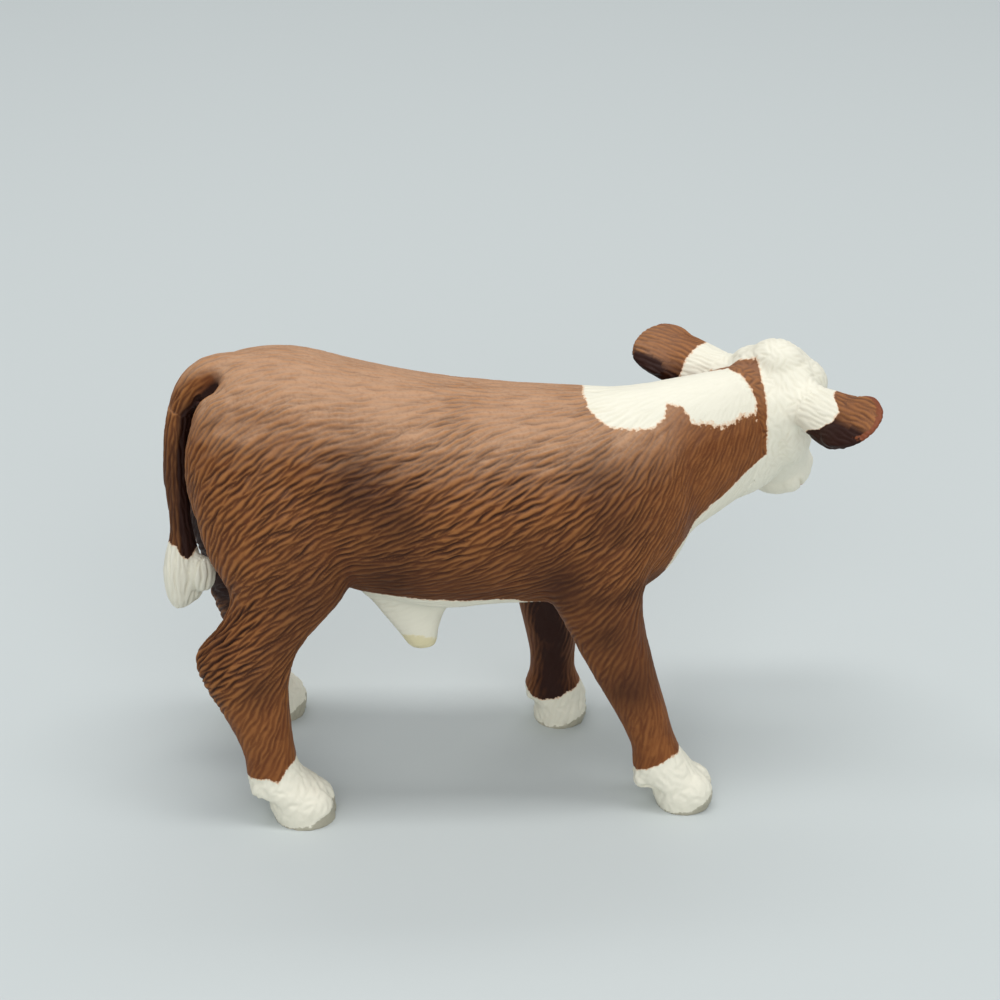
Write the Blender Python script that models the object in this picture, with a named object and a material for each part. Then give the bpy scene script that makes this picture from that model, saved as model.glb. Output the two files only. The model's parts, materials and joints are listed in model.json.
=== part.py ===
"""A standing bull calf, a solid painted figure moulded in nine pieces that are glued on pegs.

The calf faces +X, its left side is +Y, and it stands on z = 0 with the origin under the middle
of its box.  Every form is a loft whose rings are shares of the named sizes below.  The forms are
fused into two sculpts, one of the body with its legs and tail and one of the head with its ears.
Thin saw cuts then part the sculpts at their seams, and each limb gets a peg in its carrier.
"""
import math

import bmesh
import bpy
from mathutils import Matrix, Vector

# Torso, from the buttocks to the front of the chest
TORSO_LENGTH = 0.0510
BARREL_DEPTH = 0.0262
BARREL_WIDTH = 0.0212
BARREL_HEIGHT = 0.0339
SHEATH_LENGTH = 0.0080
SHEATH_WIDTH = 0.0092

# Neck, from inside the shoulders to inside the skull, bent to the calf's left
NECK_LENGTH = 0.0210
NECK_DEPTH = 0.0200
NECK_WIDTH = 0.0140
NECK_SINK = 0.0130
NECK_BEND = 0.0070
NECK_RISE = 0.0038

# Head, from the back of the skull to the nose, and ears, from inside the skull to the tips
HEAD_LENGTH = 0.0213
HEAD_DEPTH = 0.0122
HEAD_WIDTH = 0.0108
HEAD_RISE = 0.0023
HEAD_TURN = math.radians(73)
HEAD_NOD = math.radians(48)
HEAD_TILT = math.radians(8)
EYE_RADIUS = 0.0015
EAR_LENGTH = 0.0150
EAR_WIDTH = 0.0072
EAR_THICKNESS = 0.0024
EAR_CUP = 0.0010
EAR_TWIST = math.radians(75)
EAR_SWEEPS = {"right": math.radians(38), "left": math.radians(-4)}
EAR_RAISES = {"right": math.radians(-19), "left": math.radians(9)}

# Legs: a swing carries the hoof ahead of (+) or behind (-) its straight place
HIND_SETBACK = 0.0050
HIND_STANCE = 0.0200
HIND_THICKNESS = 0.0125
HIND_SWINGS = {"right": 0.0, "left": -0.0050}
FORE_SETBACK = 0.0121
FORE_STANCE = 0.0168
FORE_SHIFT = 0.0007
FORE_THICKNESS = 0.0102
FORE_SWINGS = {"right": 0.0112, "left": -0.0020}
CLEFT_WIDTH = 0.0005
CLEFT_DEPTH = 0.0010
CLEFT_HEIGHT = 0.0030

# Tail, from inside the croup to the tip of the tuft
TAIL_DROP = 0.0286
TAIL_SINK = 0.0035
TAIL_REACH = 0.0083
TAIL_THICKNESS = 0.0032

# Seams, pegs and the grain of the sculpts
SEAM_GAP = 0.0003
PEG_CLEARANCE = 0.0003
PEG_LENGTH = 0.0030
LEG_PEG_RADIUS = 0.0014
NECK_PEG_RADIUS = 0.0022
EAR_PEG_RADIUS = 0.0006
TAIL_PEG_RADIUS = 0.0006
BODY_GRAIN = 0.0005
HEAD_GRAIN = 0.0004
SLIVER = 0.00002
CUT_OVERRUN = 0.0020

# Rows of along, lift, depth, width
TORSO_SHARES = [
    (-0.006, 0.250, 0.250, 0.300),
    (0.006, 0.245, 0.480, 0.520),
    (0.040, 0.225, 0.740, 0.720),
    (0.090, 0.185, 0.890, 0.840),
    (0.180, 0.150, 0.960, 0.920),
    (0.310, 0.076, 0.972, 0.965),
    (0.450, 0.012, 0.985, 1.000),
    (0.588, 0.008, 0.930, 0.990),
    (0.710, 0.004, 0.912, 0.940),
    (0.805, 0.004, 0.900, 0.880),
    (0.885, 0.020, 0.850, 0.760),
    (0.950, 0.055, 0.690, 0.590),
    (0.990, 0.085, 0.420, 0.340),
]
# Rows of drop, ahead, depth, width
SHEATH_SHARES = [
    (0.00, -0.10, 1.15, 0.62),
    (0.22, 0.00, 1.00, 0.52),
    (0.50, 0.02, 0.70, 0.42),
    (0.80, 0.09, 0.46, 0.36),
    (1.00, 0.12, 0.34, 0.28),
]
# Rows of along, rise, bend, depth, width
NECK_SHARES = [
    (0.00, 0.00, 0.00, 1.00, 1.00),
    (0.29, 0.32, 0.05, 0.96, 0.94),
    (0.52, 0.70, 0.19, 0.86, 0.82),
    (0.74, 0.95, 0.48, 0.77, 0.72),
    (0.90, 0.92, 0.80, 0.72, 0.66),
    (1.00, 1.00, 1.00, 0.55, 0.56),
]
# Rows of along, lift, depth, width
HEAD_SHARES = [
    (0.00, 0.02, 0.45, 0.48),
    (0.05, 0.02, 0.78, 0.80),
    (0.16, 0.00, 1.00, 0.96),
    (0.32, -0.01, 0.96, 1.00),
    (0.46, -0.05, 0.83, 0.86),
    (0.62, -0.09, 0.69, 0.72),
    (0.78, -0.12, 0.61, 0.69),
    (0.90, -0.14, 0.60, 0.75),
    (0.97, -0.15, 0.49, 0.65),
    (1.00, -0.15, 0.26, 0.38),
]
# Rows of along, width, thickness, cup
EAR_SHARES = [
    (0.00, 0.72, 1.50, 0.0),
    (0.25, 0.70, 1.45, 0.1),
    (0.42, 0.78, 1.20, 0.5),
    (0.60, 0.96, 0.95, 1.0),
    (0.76, 1.00, 0.85, 1.0),
    (0.90, 0.88, 0.75, 0.8),
    (0.97, 0.62, 0.60, 0.4),
    (1.00, 0.30, 0.40, 0.1),
]
# Rows of height, ahead, aside, depth, width
HIND_SHARES = [
    (1.130, 0.160, 0.30, 0.600, 0.300),
    (1.065, 0.130, 0.40, 1.200, 0.620),
    (1.000, 0.130, 0.45, 1.330, 0.740),
    (0.857, 0.144, 0.56, 1.360, 0.800),
    (0.714, 0.168, 0.66, 1.216, 0.736),
    (0.619, 0.200, 0.73, 1.024, 0.624),
    (0.536, 0.020, 0.81, 0.900, 0.560),
    (0.476, -0.128, 0.87, 0.880, 0.530),
    (0.433, -0.158, 0.90, 0.840, 0.510),
    (0.375, -0.140, 0.93, 0.715, 0.485),
    (0.274, -0.045, 0.97, 0.540, 0.432),
    (0.190, 0.020, 0.99, 0.460, 0.416),
    (0.131, 0.056, 1.00, 0.496, 0.448),
    (0.090, 0.160, 1.01, 0.656, 0.512),
    (0.052, 0.248, 1.02, 0.640, 0.528),
    (0.019, 0.304, 1.03, 0.576, 0.528),
    (-0.024, 0.320, 1.03, 0.544, 0.512),
]
FORE_SHARES = [
    (1.000, -0.040, 0.34, 0.500, 0.200),
    (0.950, -0.040, 0.48, 0.950, 0.480),
    (0.860, -0.040, 0.65, 1.330, 0.740),
    (0.738, -0.090, 0.74, 1.290, 0.800),
    (0.619, -0.245, 0.78, 1.060, 0.760),
    (0.536, -0.265, 0.81, 0.880, 0.710),
    (0.452, -0.245, 0.85, 0.780, 0.630),
    (0.357, -0.206, 0.89, 0.670, 0.570),
    (0.286, -0.167, 0.92, 0.590, 0.530),
    (0.214, -0.137, 0.94, 0.520, 0.470),
    (0.155, -0.118, 0.96, 0.530, 0.490),
    (0.110, -0.098, 0.98, 0.670, 0.570),
    (0.076, -0.059, 0.99, 0.710, 0.590),
    (0.048, -0.020, 1.00, 0.650, 0.620),
    (0.019, 0.000, 1.00, 0.610, 0.620),
    (-0.024, 0.000, 1.00, 0.590, 0.610),
]
# Rows of drop, reach, thickness
TAIL_SHARES = [
    (0.000, 0.00, 1.20),
    (0.010, 0.36, 1.20),
    (0.060, 0.62, 1.10),
    (0.160, 0.78, 1.00),
    (0.290, 0.88, 0.94),
    (0.435, 0.92, 0.88),
    (0.580, 0.91, 0.80),
    (0.680, 0.90, 0.90),
    (0.800, 0.92, 1.36),
    (0.920, 0.96, 1.18),
    (1.000, 1.02, 0.45),
]

# Places as shares of the part that carries them
NECK_LIFT_SHARE = 0.06
HIP_LIFT_SHARE = 0.31
SHOULDER_LIFT_SHARE = 0.33
TAIL_LIFT_SHARE = 0.553
SHEATH_PLACE_SHARES = (0.40, 0.415)
HEAD_PIVOT_SHARE = 0.25
EYE_SHARES = (0.36, 0.12, 0.42)
EAR_ROOT_SHARES = (0.20, 0.06, 0.10)
HIND_PIVOT_SHARE = 0.52
FORE_PIVOT_SHARE = 0.90
HIND_SEAM_SHARE = 0.454
FORE_SEAM_SHARE = 0.530
NECK_SEAM_SHARE = 0.60
NECK_SEAM_TURN = math.radians(50)
TAIL_SEAM_SHARE = 0.30
EAR_SEAM_SHARE = 0.38
LEG_SAW_SHARE = 0.60
NECK_SAW_SHARE = 0.44
TAIL_SAW_SHARE = 0.64
EAR_SAW_SHARE = 0.48

RING_POINTS = 32
RINGS_PER_ROW = 4
EYE_FINENESS = 3
SMOOTH_ROUNDS = 9
BODY_KEEP_SHARE = 0.085
HEAD_KEEP_SHARE = 0.11
SIDES = (("right", -1), ("left", 1))
UP = Vector((0, 0, 1))

PAINT_BROWN = (0.205, 0.070, 0.026, 1.0)
PAINT_CREAM = (0.870, 0.820, 0.690, 1.0)
PAINT_ROUGHNESS = 0.6


def clear_scene():
    for thing in list(bpy.data.objects):
        bpy.data.objects.remove(thing, do_unlink=True)


def blended(before, start, end, after, share):
    """One number on the smooth curve from start to end."""
    slope_in = (end - before) / 2
    slope_out = (after - start) / 2
    rise = end - start
    bend = 3 * rise - 2 * slope_in - slope_out
    twist = slope_in + slope_out - 2 * rise
    return start + share * (slope_in + share * (bend + share * twist))


def row_at(rows, place):
    """The table's row at a place counted in rows, with a smooth curve between rows."""
    last = len(rows) - 1
    first = min(int(place), last - 1)
    picks = (rows[max(first - 1, 0)], rows[first], rows[first + 1], rows[min(first + 2, last)])
    return [blended(*column, place - first) for column in zip(*picks)]


def smooth_rows(rows):
    steps = (len(rows) - 1) * RINGS_PER_ROW
    return [row_at(rows, step / RINGS_PER_ROW) for step in range(steps + 1)]


def heading_at(point_of, rows, place):
    """The direction of a path at a place counted in rows."""
    step = 1 / RINGS_PER_ROW
    ahead = point_of(row_at(rows, min(place + step, len(rows) - 1)))
    behind = point_of(row_at(rows, max(place - step, 0)))
    return (ahead - behind).normalized()


def ring(centre, side, up):
    """An ellipse of points round a centre, from its two half axes."""
    turns = [2 * math.pi * step / RING_POINTS for step in range(RING_POINTS)]
    return [centre + side * math.cos(turn) + up * math.sin(turn) for turn in turns]


def loft(sculpt, rings):
    """Skin the rings with faces and close both ends, in the sculpt's bmesh."""
    rows = [[sculpt.verts.new(point) for point in points] for points in rings]
    for lower, upper in zip(rows, rows[1:]):
        for step in range(RING_POINTS):
            after = (step + 1) % RING_POINTS
            sculpt.faces.new((lower[step], lower[after], upper[after], upper[step]))
    sculpt.faces.new(list(reversed(rows[0])))
    sculpt.faces.new(rows[-1])


def barrel_level(lift):
    """The height of a share of the barrel's depth above its axis."""
    return BARREL_HEIGHT + lift * BARREL_DEPTH


def torso_rings():
    rings = []
    for along, lift, depth, width in smooth_rows(TORSO_SHARES):
        centre = Vector((along * TORSO_LENGTH, 0, barrel_level(lift)))
        side = Vector((0, width * BARREL_WIDTH / 2, 0))
        rings.append(ring(centre, side, UP * depth * BARREL_DEPTH / 2))
    return rings


def sheath_rings():
    along, drop = SHEATH_PLACE_SHARES
    top = Vector((along * TORSO_LENGTH, 0, barrel_level(-drop)))
    rings = []
    for drop, ahead, depth, width in smooth_rows(SHEATH_SHARES):
        centre = top + Vector((ahead * SHEATH_WIDTH, 0, -drop * SHEATH_LENGTH))
        side = Vector((0, width * SHEATH_WIDTH / 2, 0))
        rings.append(ring(centre, Vector((depth * SHEATH_WIDTH / 2, 0, 0)), side))
    return rings


def neck_point(row):
    root = Vector((TORSO_LENGTH - NECK_SINK, 0, barrel_level(NECK_LIFT_SHARE)))
    return root + Vector((row[0] * NECK_LENGTH, row[2] * NECK_BEND, row[1] * NECK_RISE))


def neck_rings():
    rings = []
    for step, row in enumerate(smooth_rows(NECK_SHARES)):
        heading = heading_at(neck_point, NECK_SHARES, step / RINGS_PER_ROW)
        side = UP.cross(heading).normalized()
        up = heading.cross(side)
        rings.append(ring(neck_point(row), side * row[4] * NECK_WIDTH / 2, up * row[3] * NECK_DEPTH / 2))
    return rings


def tail_point(row):
    root = Vector((TAIL_SINK, 0, barrel_level(TAIL_LIFT_SHARE)))
    return root - Vector((row[1] * TAIL_REACH, 0, row[0] * TAIL_DROP))


def tail_rings():
    side = Vector((0, 1, 0))
    rings = []
    for step, row in enumerate(smooth_rows(TAIL_SHARES)):
        heading = heading_at(tail_point, TAIL_SHARES, step / RINGS_PER_ROW)
        half = row[2] * TAIL_THICKNESS / 2
        rings.append(ring(tail_point(row), side * half, heading.cross(side) * half))
    return rings


def leg_rings(rows, base, top, pivot, thickness, stance, swing, hand):
    """Level slices down one leg; the swing grows from the pivot down to the ground."""
    rings = []
    for height, ahead, aside, depth, width in smooth_rows(rows):
        carried = swing * max(0, 1 - height / pivot)
        centre = base + Vector((ahead * thickness + carried, hand * aside * stance / 2, height * top))
        side = Vector((0, width * thickness / 2, 0))
        rings.append(ring(centre, Vector((depth * thickness / 2, 0, 0)), side))
    return rings


def hind_leg_rings(side_name, hand):
    base = Vector((HIND_SETBACK, 0, 0))
    return leg_rings(HIND_SHARES, base, barrel_level(HIP_LIFT_SHARE), HIND_PIVOT_SHARE,
                     HIND_THICKNESS, HIND_STANCE, HIND_SWINGS[side_name], hand)


def fore_leg_rings(side_name, hand):
    base = Vector((TORSO_LENGTH - FORE_SETBACK, FORE_SHIFT, 0))
    return leg_rings(FORE_SHARES, base, barrel_level(SHOULDER_LIFT_SHARE), FORE_PIVOT_SHARE,
                     FORE_THICKNESS, FORE_STANCE, FORE_SWINGS[side_name], hand)


def head_frame():
    """Head axes: x to the nose, y to the calf's left, z to the poll, from the skull's middle."""
    middle = neck_point(NECK_SHARES[-1]) + UP * HEAD_RISE
    turned = Matrix.Rotation(HEAD_TURN, 4, "Z")
    nodded = Matrix.Rotation(HEAD_NOD, 4, "Y")
    tilted = Matrix.Rotation(HEAD_TILT, 4, "X")
    return Matrix.Translation(middle) @ turned @ nodded @ tilted


def head_place(along, lift, aside):
    """A point of the head's frame, from shares of its length, depth and width."""
    return Vector(((along - HEAD_PIVOT_SHARE) * HEAD_LENGTH, aside * HEAD_WIDTH, lift * HEAD_DEPTH))


def head_rings():
    frame = head_frame()
    rings = []
    for along, lift, depth, width in smooth_rows(HEAD_SHARES):
        side = Vector((0, width * HEAD_WIDTH / 2, 0))
        level = ring(head_place(along, lift, 0), side, UP * depth * HEAD_DEPTH / 2)
        rings.append([frame @ point for point in level])
    return rings


def add_eye(sculpt, hand):
    along, lift, aside = EYE_SHARES
    place = head_frame() @ Matrix.Translation(head_place(along, lift, hand * aside))
    bmesh.ops.create_icosphere(sculpt, subdivisions=EYE_FINENESS, radius=EYE_RADIUS, matrix=place)


def ear_frame(side_name, hand):
    """Ear axes: x out along the ear, y across it, z out of its back, from its root in the skull."""
    along, lift, aside = EAR_ROOT_SHARES
    root = Matrix.Translation(head_place(along, lift, hand * aside))
    outward = Matrix.Rotation(hand * (math.pi / 2 + EAR_SWEEPS[side_name]), 4, "Z")
    raised = Matrix.Rotation(-EAR_RAISES[side_name], 4, "Y")
    twisted = Matrix.Rotation(-hand * EAR_TWIST, 4, "X")
    return head_frame() @ root @ outward @ raised @ twisted


def ear_rings(side_name, hand):
    frame = ear_frame(side_name, hand)
    rings = []
    for along, width, thickness, cup in smooth_rows(EAR_SHARES):
        half = width * EAR_WIDTH / 2
        centre = Vector((along * EAR_LENGTH, 0, 0))
        flat = ring(centre, Vector((0, half, 0)), UP * thickness * EAR_THICKNESS / 2)
        cupped = [point - UP * cup * EAR_CUP * (point.y / half) ** 2 for point in flat]
        rings.append([frame @ point for point in cupped])
    return rings


def as_object(name, solid):
    """Turn a bmesh into an object of the scene."""
    mesh = bpy.data.meshes.new(name)
    solid.to_mesh(mesh)
    solid.free()
    thing = bpy.data.objects.new(name, mesh)
    bpy.context.scene.collection.objects.link(thing)
    return thing


def settle(thing):
    """Apply an object's modifiers to its mesh."""
    graph = bpy.context.evaluated_depsgraph_get()
    graph.update()
    mesh = bpy.data.meshes.new_from_object(thing.evaluated_get(graph))
    thing.modifiers.clear()
    thing.data = mesh


def fused(name, sculpt, grain, keep):
    """Fuse the overlapping lofts of a sculpt into one skin and thin out its faces."""
    thing = as_object(name, sculpt)
    remesh = thing.modifiers.new("fuse", "REMESH")
    remesh.mode = "VOXEL"
    remesh.voxel_size = grain
    smooth = thing.modifiers.new("smooth", "SMOOTH")
    smooth.iterations = SMOOTH_ROUNDS
    thin = thing.modifiers.new("thin", "DECIMATE")
    thin.ratio = keep
    settle(thing)
    return thing


def without_slivers(thing):
    """Collapse the needle-thin triangles that the cuts leave."""
    solid = bmesh.new()
    solid.from_mesh(thing.data)
    bmesh.ops.triangulate(solid, faces=solid.faces)
    bmesh.ops.dissolve_degenerate(solid, dist=SLIVER, edges=solid.edges)
    bmesh.ops.triangulate(solid, faces=solid.faces)
    solid.to_mesh(thing.data)
    solid.free()


def combine(thing, tool, operation):
    """Cut a tool out of an object, or add it, and remove the tool."""
    boolean = thing.modifiers.new(operation, "BOOLEAN")
    boolean.operation = operation
    boolean.object = tool
    settle(thing)
    without_slivers(thing)
    bpy.data.objects.remove(tool, do_unlink=True)


def rod(base, heading, radius, length):
    """A round rod that starts at its base and runs along the heading."""
    solid = bmesh.new()
    place = Matrix.Translation(base + heading * length / 2)
    aim = heading.to_track_quat("Z", "Y").to_matrix().to_4x4()
    bmesh.ops.create_cone(solid, cap_ends=True, segments=RING_POINTS, radius1=radius, radius2=radius,
                          depth=length, matrix=place @ aim)
    return as_object("rod", solid)


def slab(low, high):
    """A box between two corners."""
    solid = bmesh.new()
    size = high - low
    place = Matrix.Translation((low + high) / 2)
    bmesh.ops.create_cube(solid, size=1, matrix=place @ Matrix.Diagonal((*size, 1)))
    return as_object("slab", solid)


def middle_of(points):
    return sum(points, Vector()) / len(points)


def middle_at(rings, level):
    """The middle of a leg at a level, between the two rings next to it."""
    middles = [middle_of(points) for points in rings]
    for upper, lower in zip(middles, middles[1:]):
        if upper.z >= level >= lower.z:
            return lower.lerp(upper, (level - lower.z) / (upper.z - lower.z))
    return middles[-1]


def body_seams():
    """Each seam of the body's sculpt: its middle, the way out of the body, saw and peg radius."""
    tail_place = TAIL_SEAM_SHARE * (len(TAIL_SHARES) - 1)
    seams = {"tail": (tail_point(row_at(TAIL_SHARES, tail_place)),
                      heading_at(tail_point, TAIL_SHARES, tail_place),
                      TAIL_SAW_SHARE * TAIL_THICKNESS, TAIL_PEG_RADIUS)}
    for side_name, hand in SIDES:
        hind = middle_at(hind_leg_rings(side_name, hand), barrel_level(-HIND_SEAM_SHARE))
        fore = middle_at(fore_leg_rings(side_name, hand), barrel_level(-FORE_SEAM_SHARE))
        seams["leg_hind_" + side_name] = (hind, -UP, LEG_SAW_SHARE * HIND_THICKNESS, LEG_PEG_RADIUS)
        seams["leg_fore_" + side_name] = (fore, -UP, LEG_SAW_SHARE * FORE_THICKNESS, LEG_PEG_RADIUS)
    return seams


def neck_seam():
    """The seam between body and head, turned halfway towards the head."""
    middle = neck_point(row_at(NECK_SHARES, NECK_SEAM_SHARE * (len(NECK_SHARES) - 1)))
    heading = Vector((math.cos(NECK_SEAM_TURN), math.sin(NECK_SEAM_TURN), 0))
    return middle, heading, NECK_SAW_SHARE * NECK_DEPTH, NECK_PEG_RADIUS


def ear_seams():
    seams = {}
    for side_name, hand in SIDES:
        frame = ear_frame(side_name, hand)
        middle = frame @ Vector((EAR_SEAM_SHARE * EAR_LENGTH, 0, 0))
        heading = frame.to_3x3() @ Vector((1, 0, 0))
        seams["ear_" + side_name] = (middle, heading, EAR_SAW_SHARE * EAR_WIDTH, EAR_PEG_RADIUS)
    return seams


def saw(thing, seam):
    """Part an object with a round blade, half to each side of the seam."""
    middle, heading, reach, _ = seam
    combine(thing, rod(middle - heading * SEAM_GAP / 2, heading, reach, SEAM_GAP), "DIFFERENCE")


def stand_flat(thing):
    """Cut the soles flat at the ground."""
    points = [vert.co for vert in thing.data.vertices]
    overrun = Vector((CUT_OVERRUN, CUT_OVERRUN, CUT_OVERRUN))
    low = Vector(map(min, zip(*points))) - overrun
    high = Vector(map(max, zip(*points))) + overrun
    combine(thing, slab(low, Vector((high.x, high.y, 0))), "DIFFERENCE")


def bodies_of(mesh):
    """Split a mesh into its separate bodies, one bmesh each."""
    whole = bmesh.new()
    whole.from_mesh(mesh)
    unseen = set(whole.verts)
    bodies = []
    while unseen:
        body = set()
        rim = {unseen.pop()}
        while rim:
            body |= rim
            rim = {edge.other_vert(vert) for vert in rim for edge in vert.link_edges} - body
        unseen -= body
        kept = {vert.index for vert in body}
        piece = whole.copy()
        others = [vert for vert in piece.verts if vert.index not in kept]
        bmesh.ops.delete(piece, geom=others, context="VERTS")
        bodies.append(piece)
    whole.free()
    return bodies


def part_off(whole, name, seam, tip):
    """Saw a sculpt at a seam and return what holds the tip as a piece of its own."""
    saw(whole, seam)
    bodies = bodies_of(whole.data)
    bodies.sort(key=lambda body: min((vert.co - tip).length for vert in body.verts))
    limb, rest = bodies
    rest.to_mesh(whole.data)
    rest.free()
    return as_object(name, limb)


def drop_neck(whole, tip):
    """Saw a sculpt at the neck and drop what holds the tip, which the other sculpt has too."""
    stub = part_off(whole, "stub", neck_seam(), tip)
    bpy.data.objects.remove(stub, do_unlink=True)


def peg(carrier, limb, seam):
    """Give the limb a peg across the seam and the carrier a socket round it."""
    middle, heading, _, radius = seam
    base = middle - heading * PEG_LENGTH
    bottom = base - heading * PEG_CLEARANCE
    combine(limb, rod(base, heading, radius, 2 * PEG_LENGTH), "UNION")
    combine(carrier, rod(bottom, heading, radius + PEG_CLEARANCE, 2 * PEG_LENGTH), "DIFFERENCE")


def cleave(leg, ground):
    """Cut the cleft into the front of a hoof that stands over a place on the ground."""
    front = max(vert.co.x for vert in leg.data.vertices if vert.co.z < CLEFT_HEIGHT)
    low = Vector((front - CLEFT_DEPTH, ground.y - CLEFT_WIDTH / 2, -CLEFT_HEIGHT))
    high = Vector((front + CLEFT_DEPTH, ground.y + CLEFT_WIDTH / 2, CLEFT_HEIGHT))
    combine(leg, slab(low, high), "DIFFERENCE")


def paint(thing, colour):
    finish = bpy.data.materials.new(thing.name + "_paint")
    finish.use_nodes = True
    shader = finish.node_tree.nodes["Principled BSDF"]
    shader.inputs["Base Color"].default_value = colour
    shader.inputs["Roughness"].default_value = PAINT_ROUGHNESS
    shader.inputs["Metallic"].default_value = 0
    thing.data.materials.clear()
    thing.data.materials.append(finish)


def make_body_pieces():
    """The body, its legs and its tail, parted and pegged."""
    sculpt = bmesh.new()
    for rings in (torso_rings(), neck_rings(), sheath_rings(), tail_rings()):
        loft(sculpt, rings)
    for side_name, hand in SIDES:
        loft(sculpt, hind_leg_rings(side_name, hand))
        loft(sculpt, fore_leg_rings(side_name, hand))
    body = fused("body", sculpt, BODY_GRAIN, BODY_KEEP_SHARE)
    stand_flat(body)
    drop_neck(body, neck_point(NECK_SHARES[-1]))
    seams = body_seams()
    pieces = [body, part_off(body, "tail", seams["tail"], tail_point(TAIL_SHARES[-1]))]
    for side_name, hand in SIDES:
        for name, rings in (("leg_hind_" + side_name, hind_leg_rings(side_name, hand)),
                            ("leg_fore_" + side_name, fore_leg_rings(side_name, hand))):
            leg = part_off(body, name, seams[name], middle_at(rings, 0))
            cleave(leg, middle_at(rings, 0))
            pieces.append(leg)
    for limb in pieces[1:]:
        peg(body, limb, seams[limb.name])
    return pieces


def make_head_pieces():
    """The head and its ears, parted and pegged."""
    sculpt = bmesh.new()
    for rings in (neck_rings(), head_rings()):
        loft(sculpt, rings)
    for side_name, hand in SIDES:
        add_eye(sculpt, hand)
        loft(sculpt, ear_rings(side_name, hand))
    head = fused("head", sculpt, HEAD_GRAIN, HEAD_KEEP_SHARE)
    drop_neck(head, neck_point(NECK_SHARES[0]))
    seams = ear_seams()
    pieces = [head]
    for side_name, hand in SIDES:
        tip = ear_frame(side_name, hand) @ Vector((EAR_LENGTH, 0, 0))
        pieces.append(part_off(head, "ear_" + side_name, seams["ear_" + side_name], tip))
    for limb in pieces[1:]:
        peg(head, limb, seams[limb.name])
    return pieces


def box_middle(pieces):
    """The middle of the box round all the pieces."""
    points = [vert.co for piece in pieces for vert in piece.data.vertices]
    return (Vector(map(min, zip(*points))) + Vector(map(max, zip(*points)))) / 2


clear_scene()
body_pieces = make_body_pieces()
head_pieces = make_head_pieces()
peg(body_pieces[0], head_pieces[0], neck_seam())
pieces = body_pieces + head_pieces
middle = box_middle(pieces)
for piece in pieces:
    piece.data.transform(Matrix.Translation((-middle.x, -middle.y, 0)))
    paint(piece, PAINT_CREAM if piece.name == "head" else PAINT_BROWN)
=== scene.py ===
import json
import math

import bmesh
import bpy
import numpy as np
from mathutils import Matrix, Vector, kdtree
from mathutils.geometry import tessellate_polygon


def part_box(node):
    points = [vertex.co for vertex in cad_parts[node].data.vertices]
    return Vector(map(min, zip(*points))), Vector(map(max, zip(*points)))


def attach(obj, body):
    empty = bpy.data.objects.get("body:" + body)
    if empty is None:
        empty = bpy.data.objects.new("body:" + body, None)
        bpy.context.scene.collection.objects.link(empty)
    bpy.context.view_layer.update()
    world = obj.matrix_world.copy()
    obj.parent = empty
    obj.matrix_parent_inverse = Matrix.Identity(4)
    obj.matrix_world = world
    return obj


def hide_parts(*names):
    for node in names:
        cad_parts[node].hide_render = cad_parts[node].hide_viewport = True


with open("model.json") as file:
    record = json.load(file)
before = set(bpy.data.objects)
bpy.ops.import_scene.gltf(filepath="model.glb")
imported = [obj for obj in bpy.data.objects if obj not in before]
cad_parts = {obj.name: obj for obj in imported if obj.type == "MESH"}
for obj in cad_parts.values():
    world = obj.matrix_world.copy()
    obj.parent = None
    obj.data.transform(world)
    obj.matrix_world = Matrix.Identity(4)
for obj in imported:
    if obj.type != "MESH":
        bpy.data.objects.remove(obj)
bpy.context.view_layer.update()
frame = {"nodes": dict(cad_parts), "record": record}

# The view
# The photograph looks down on the calf's right side from a little above, along +Y.
# The calf stands 9.4 pixels to the millimetre where the camera aims.
MM = 0.001
PHOTO_PIXELS = 1000
PIXELS_PER_MM = 9.4
CAMERA_AIM = Vector((-1.2, -1.3, 32.7)) * MM
CAMERA_DISTANCE = 235 * MM
CAMERA_RISE = math.radians(28)
SENSOR_MM = 36

view_back = Vector((0, -math.cos(CAMERA_RISE), math.sin(CAMERA_RISE)))
camera_data = bpy.data.cameras.new("camera")
camera_data.sensor_width = SENSOR_MM
camera_data.lens = SENSOR_MM * PIXELS_PER_MM * CAMERA_DISTANCE / MM / PHOTO_PIXELS
camera_data.clip_start = 10 * MM
camera = bpy.data.objects.new("camera", camera_data)
bpy.context.scene.collection.objects.link(camera)
camera.location = CAMERA_AIM + view_back * CAMERA_DISTANCE
camera.rotation_euler = (-view_back).to_track_quat("-Z", "Y").to_euler()
bpy.context.scene.camera = camera


# The blank
# Nine solid PVC mouldings glued on pegs. Their seams are filled and painted over, so the outside
# is one skin. The mouldings are grown a little to close the seams, clay is added for the
# forms that they lack, all of it is fused, and the skin is shrunk back.
SEAM_FILL = 0.25 * MM
SKIN_GRAIN = 0.17 * MM
WELD = 0.001 * MM
LUMP_FINENESS = 3
SKIN_ROUNDS = 8
SOLE_ROUNDING = 0.15 * MM

HEAD_PIVOT = Vector((27.8, 4.8, 41.6)) * MM
HEAD_TURN = math.radians(73)
HEAD_NOD = math.radians(48)
HEAD_TILT = math.radians(8)
head_frame = (Matrix.Translation(HEAD_PIVOT) @ Matrix.Rotation(HEAD_TURN, 4, "Z")
              @ Matrix.Rotation(HEAD_NOD, 4, "Y") @ Matrix.Rotation(HEAD_TILT, 4, "X"))

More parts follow.
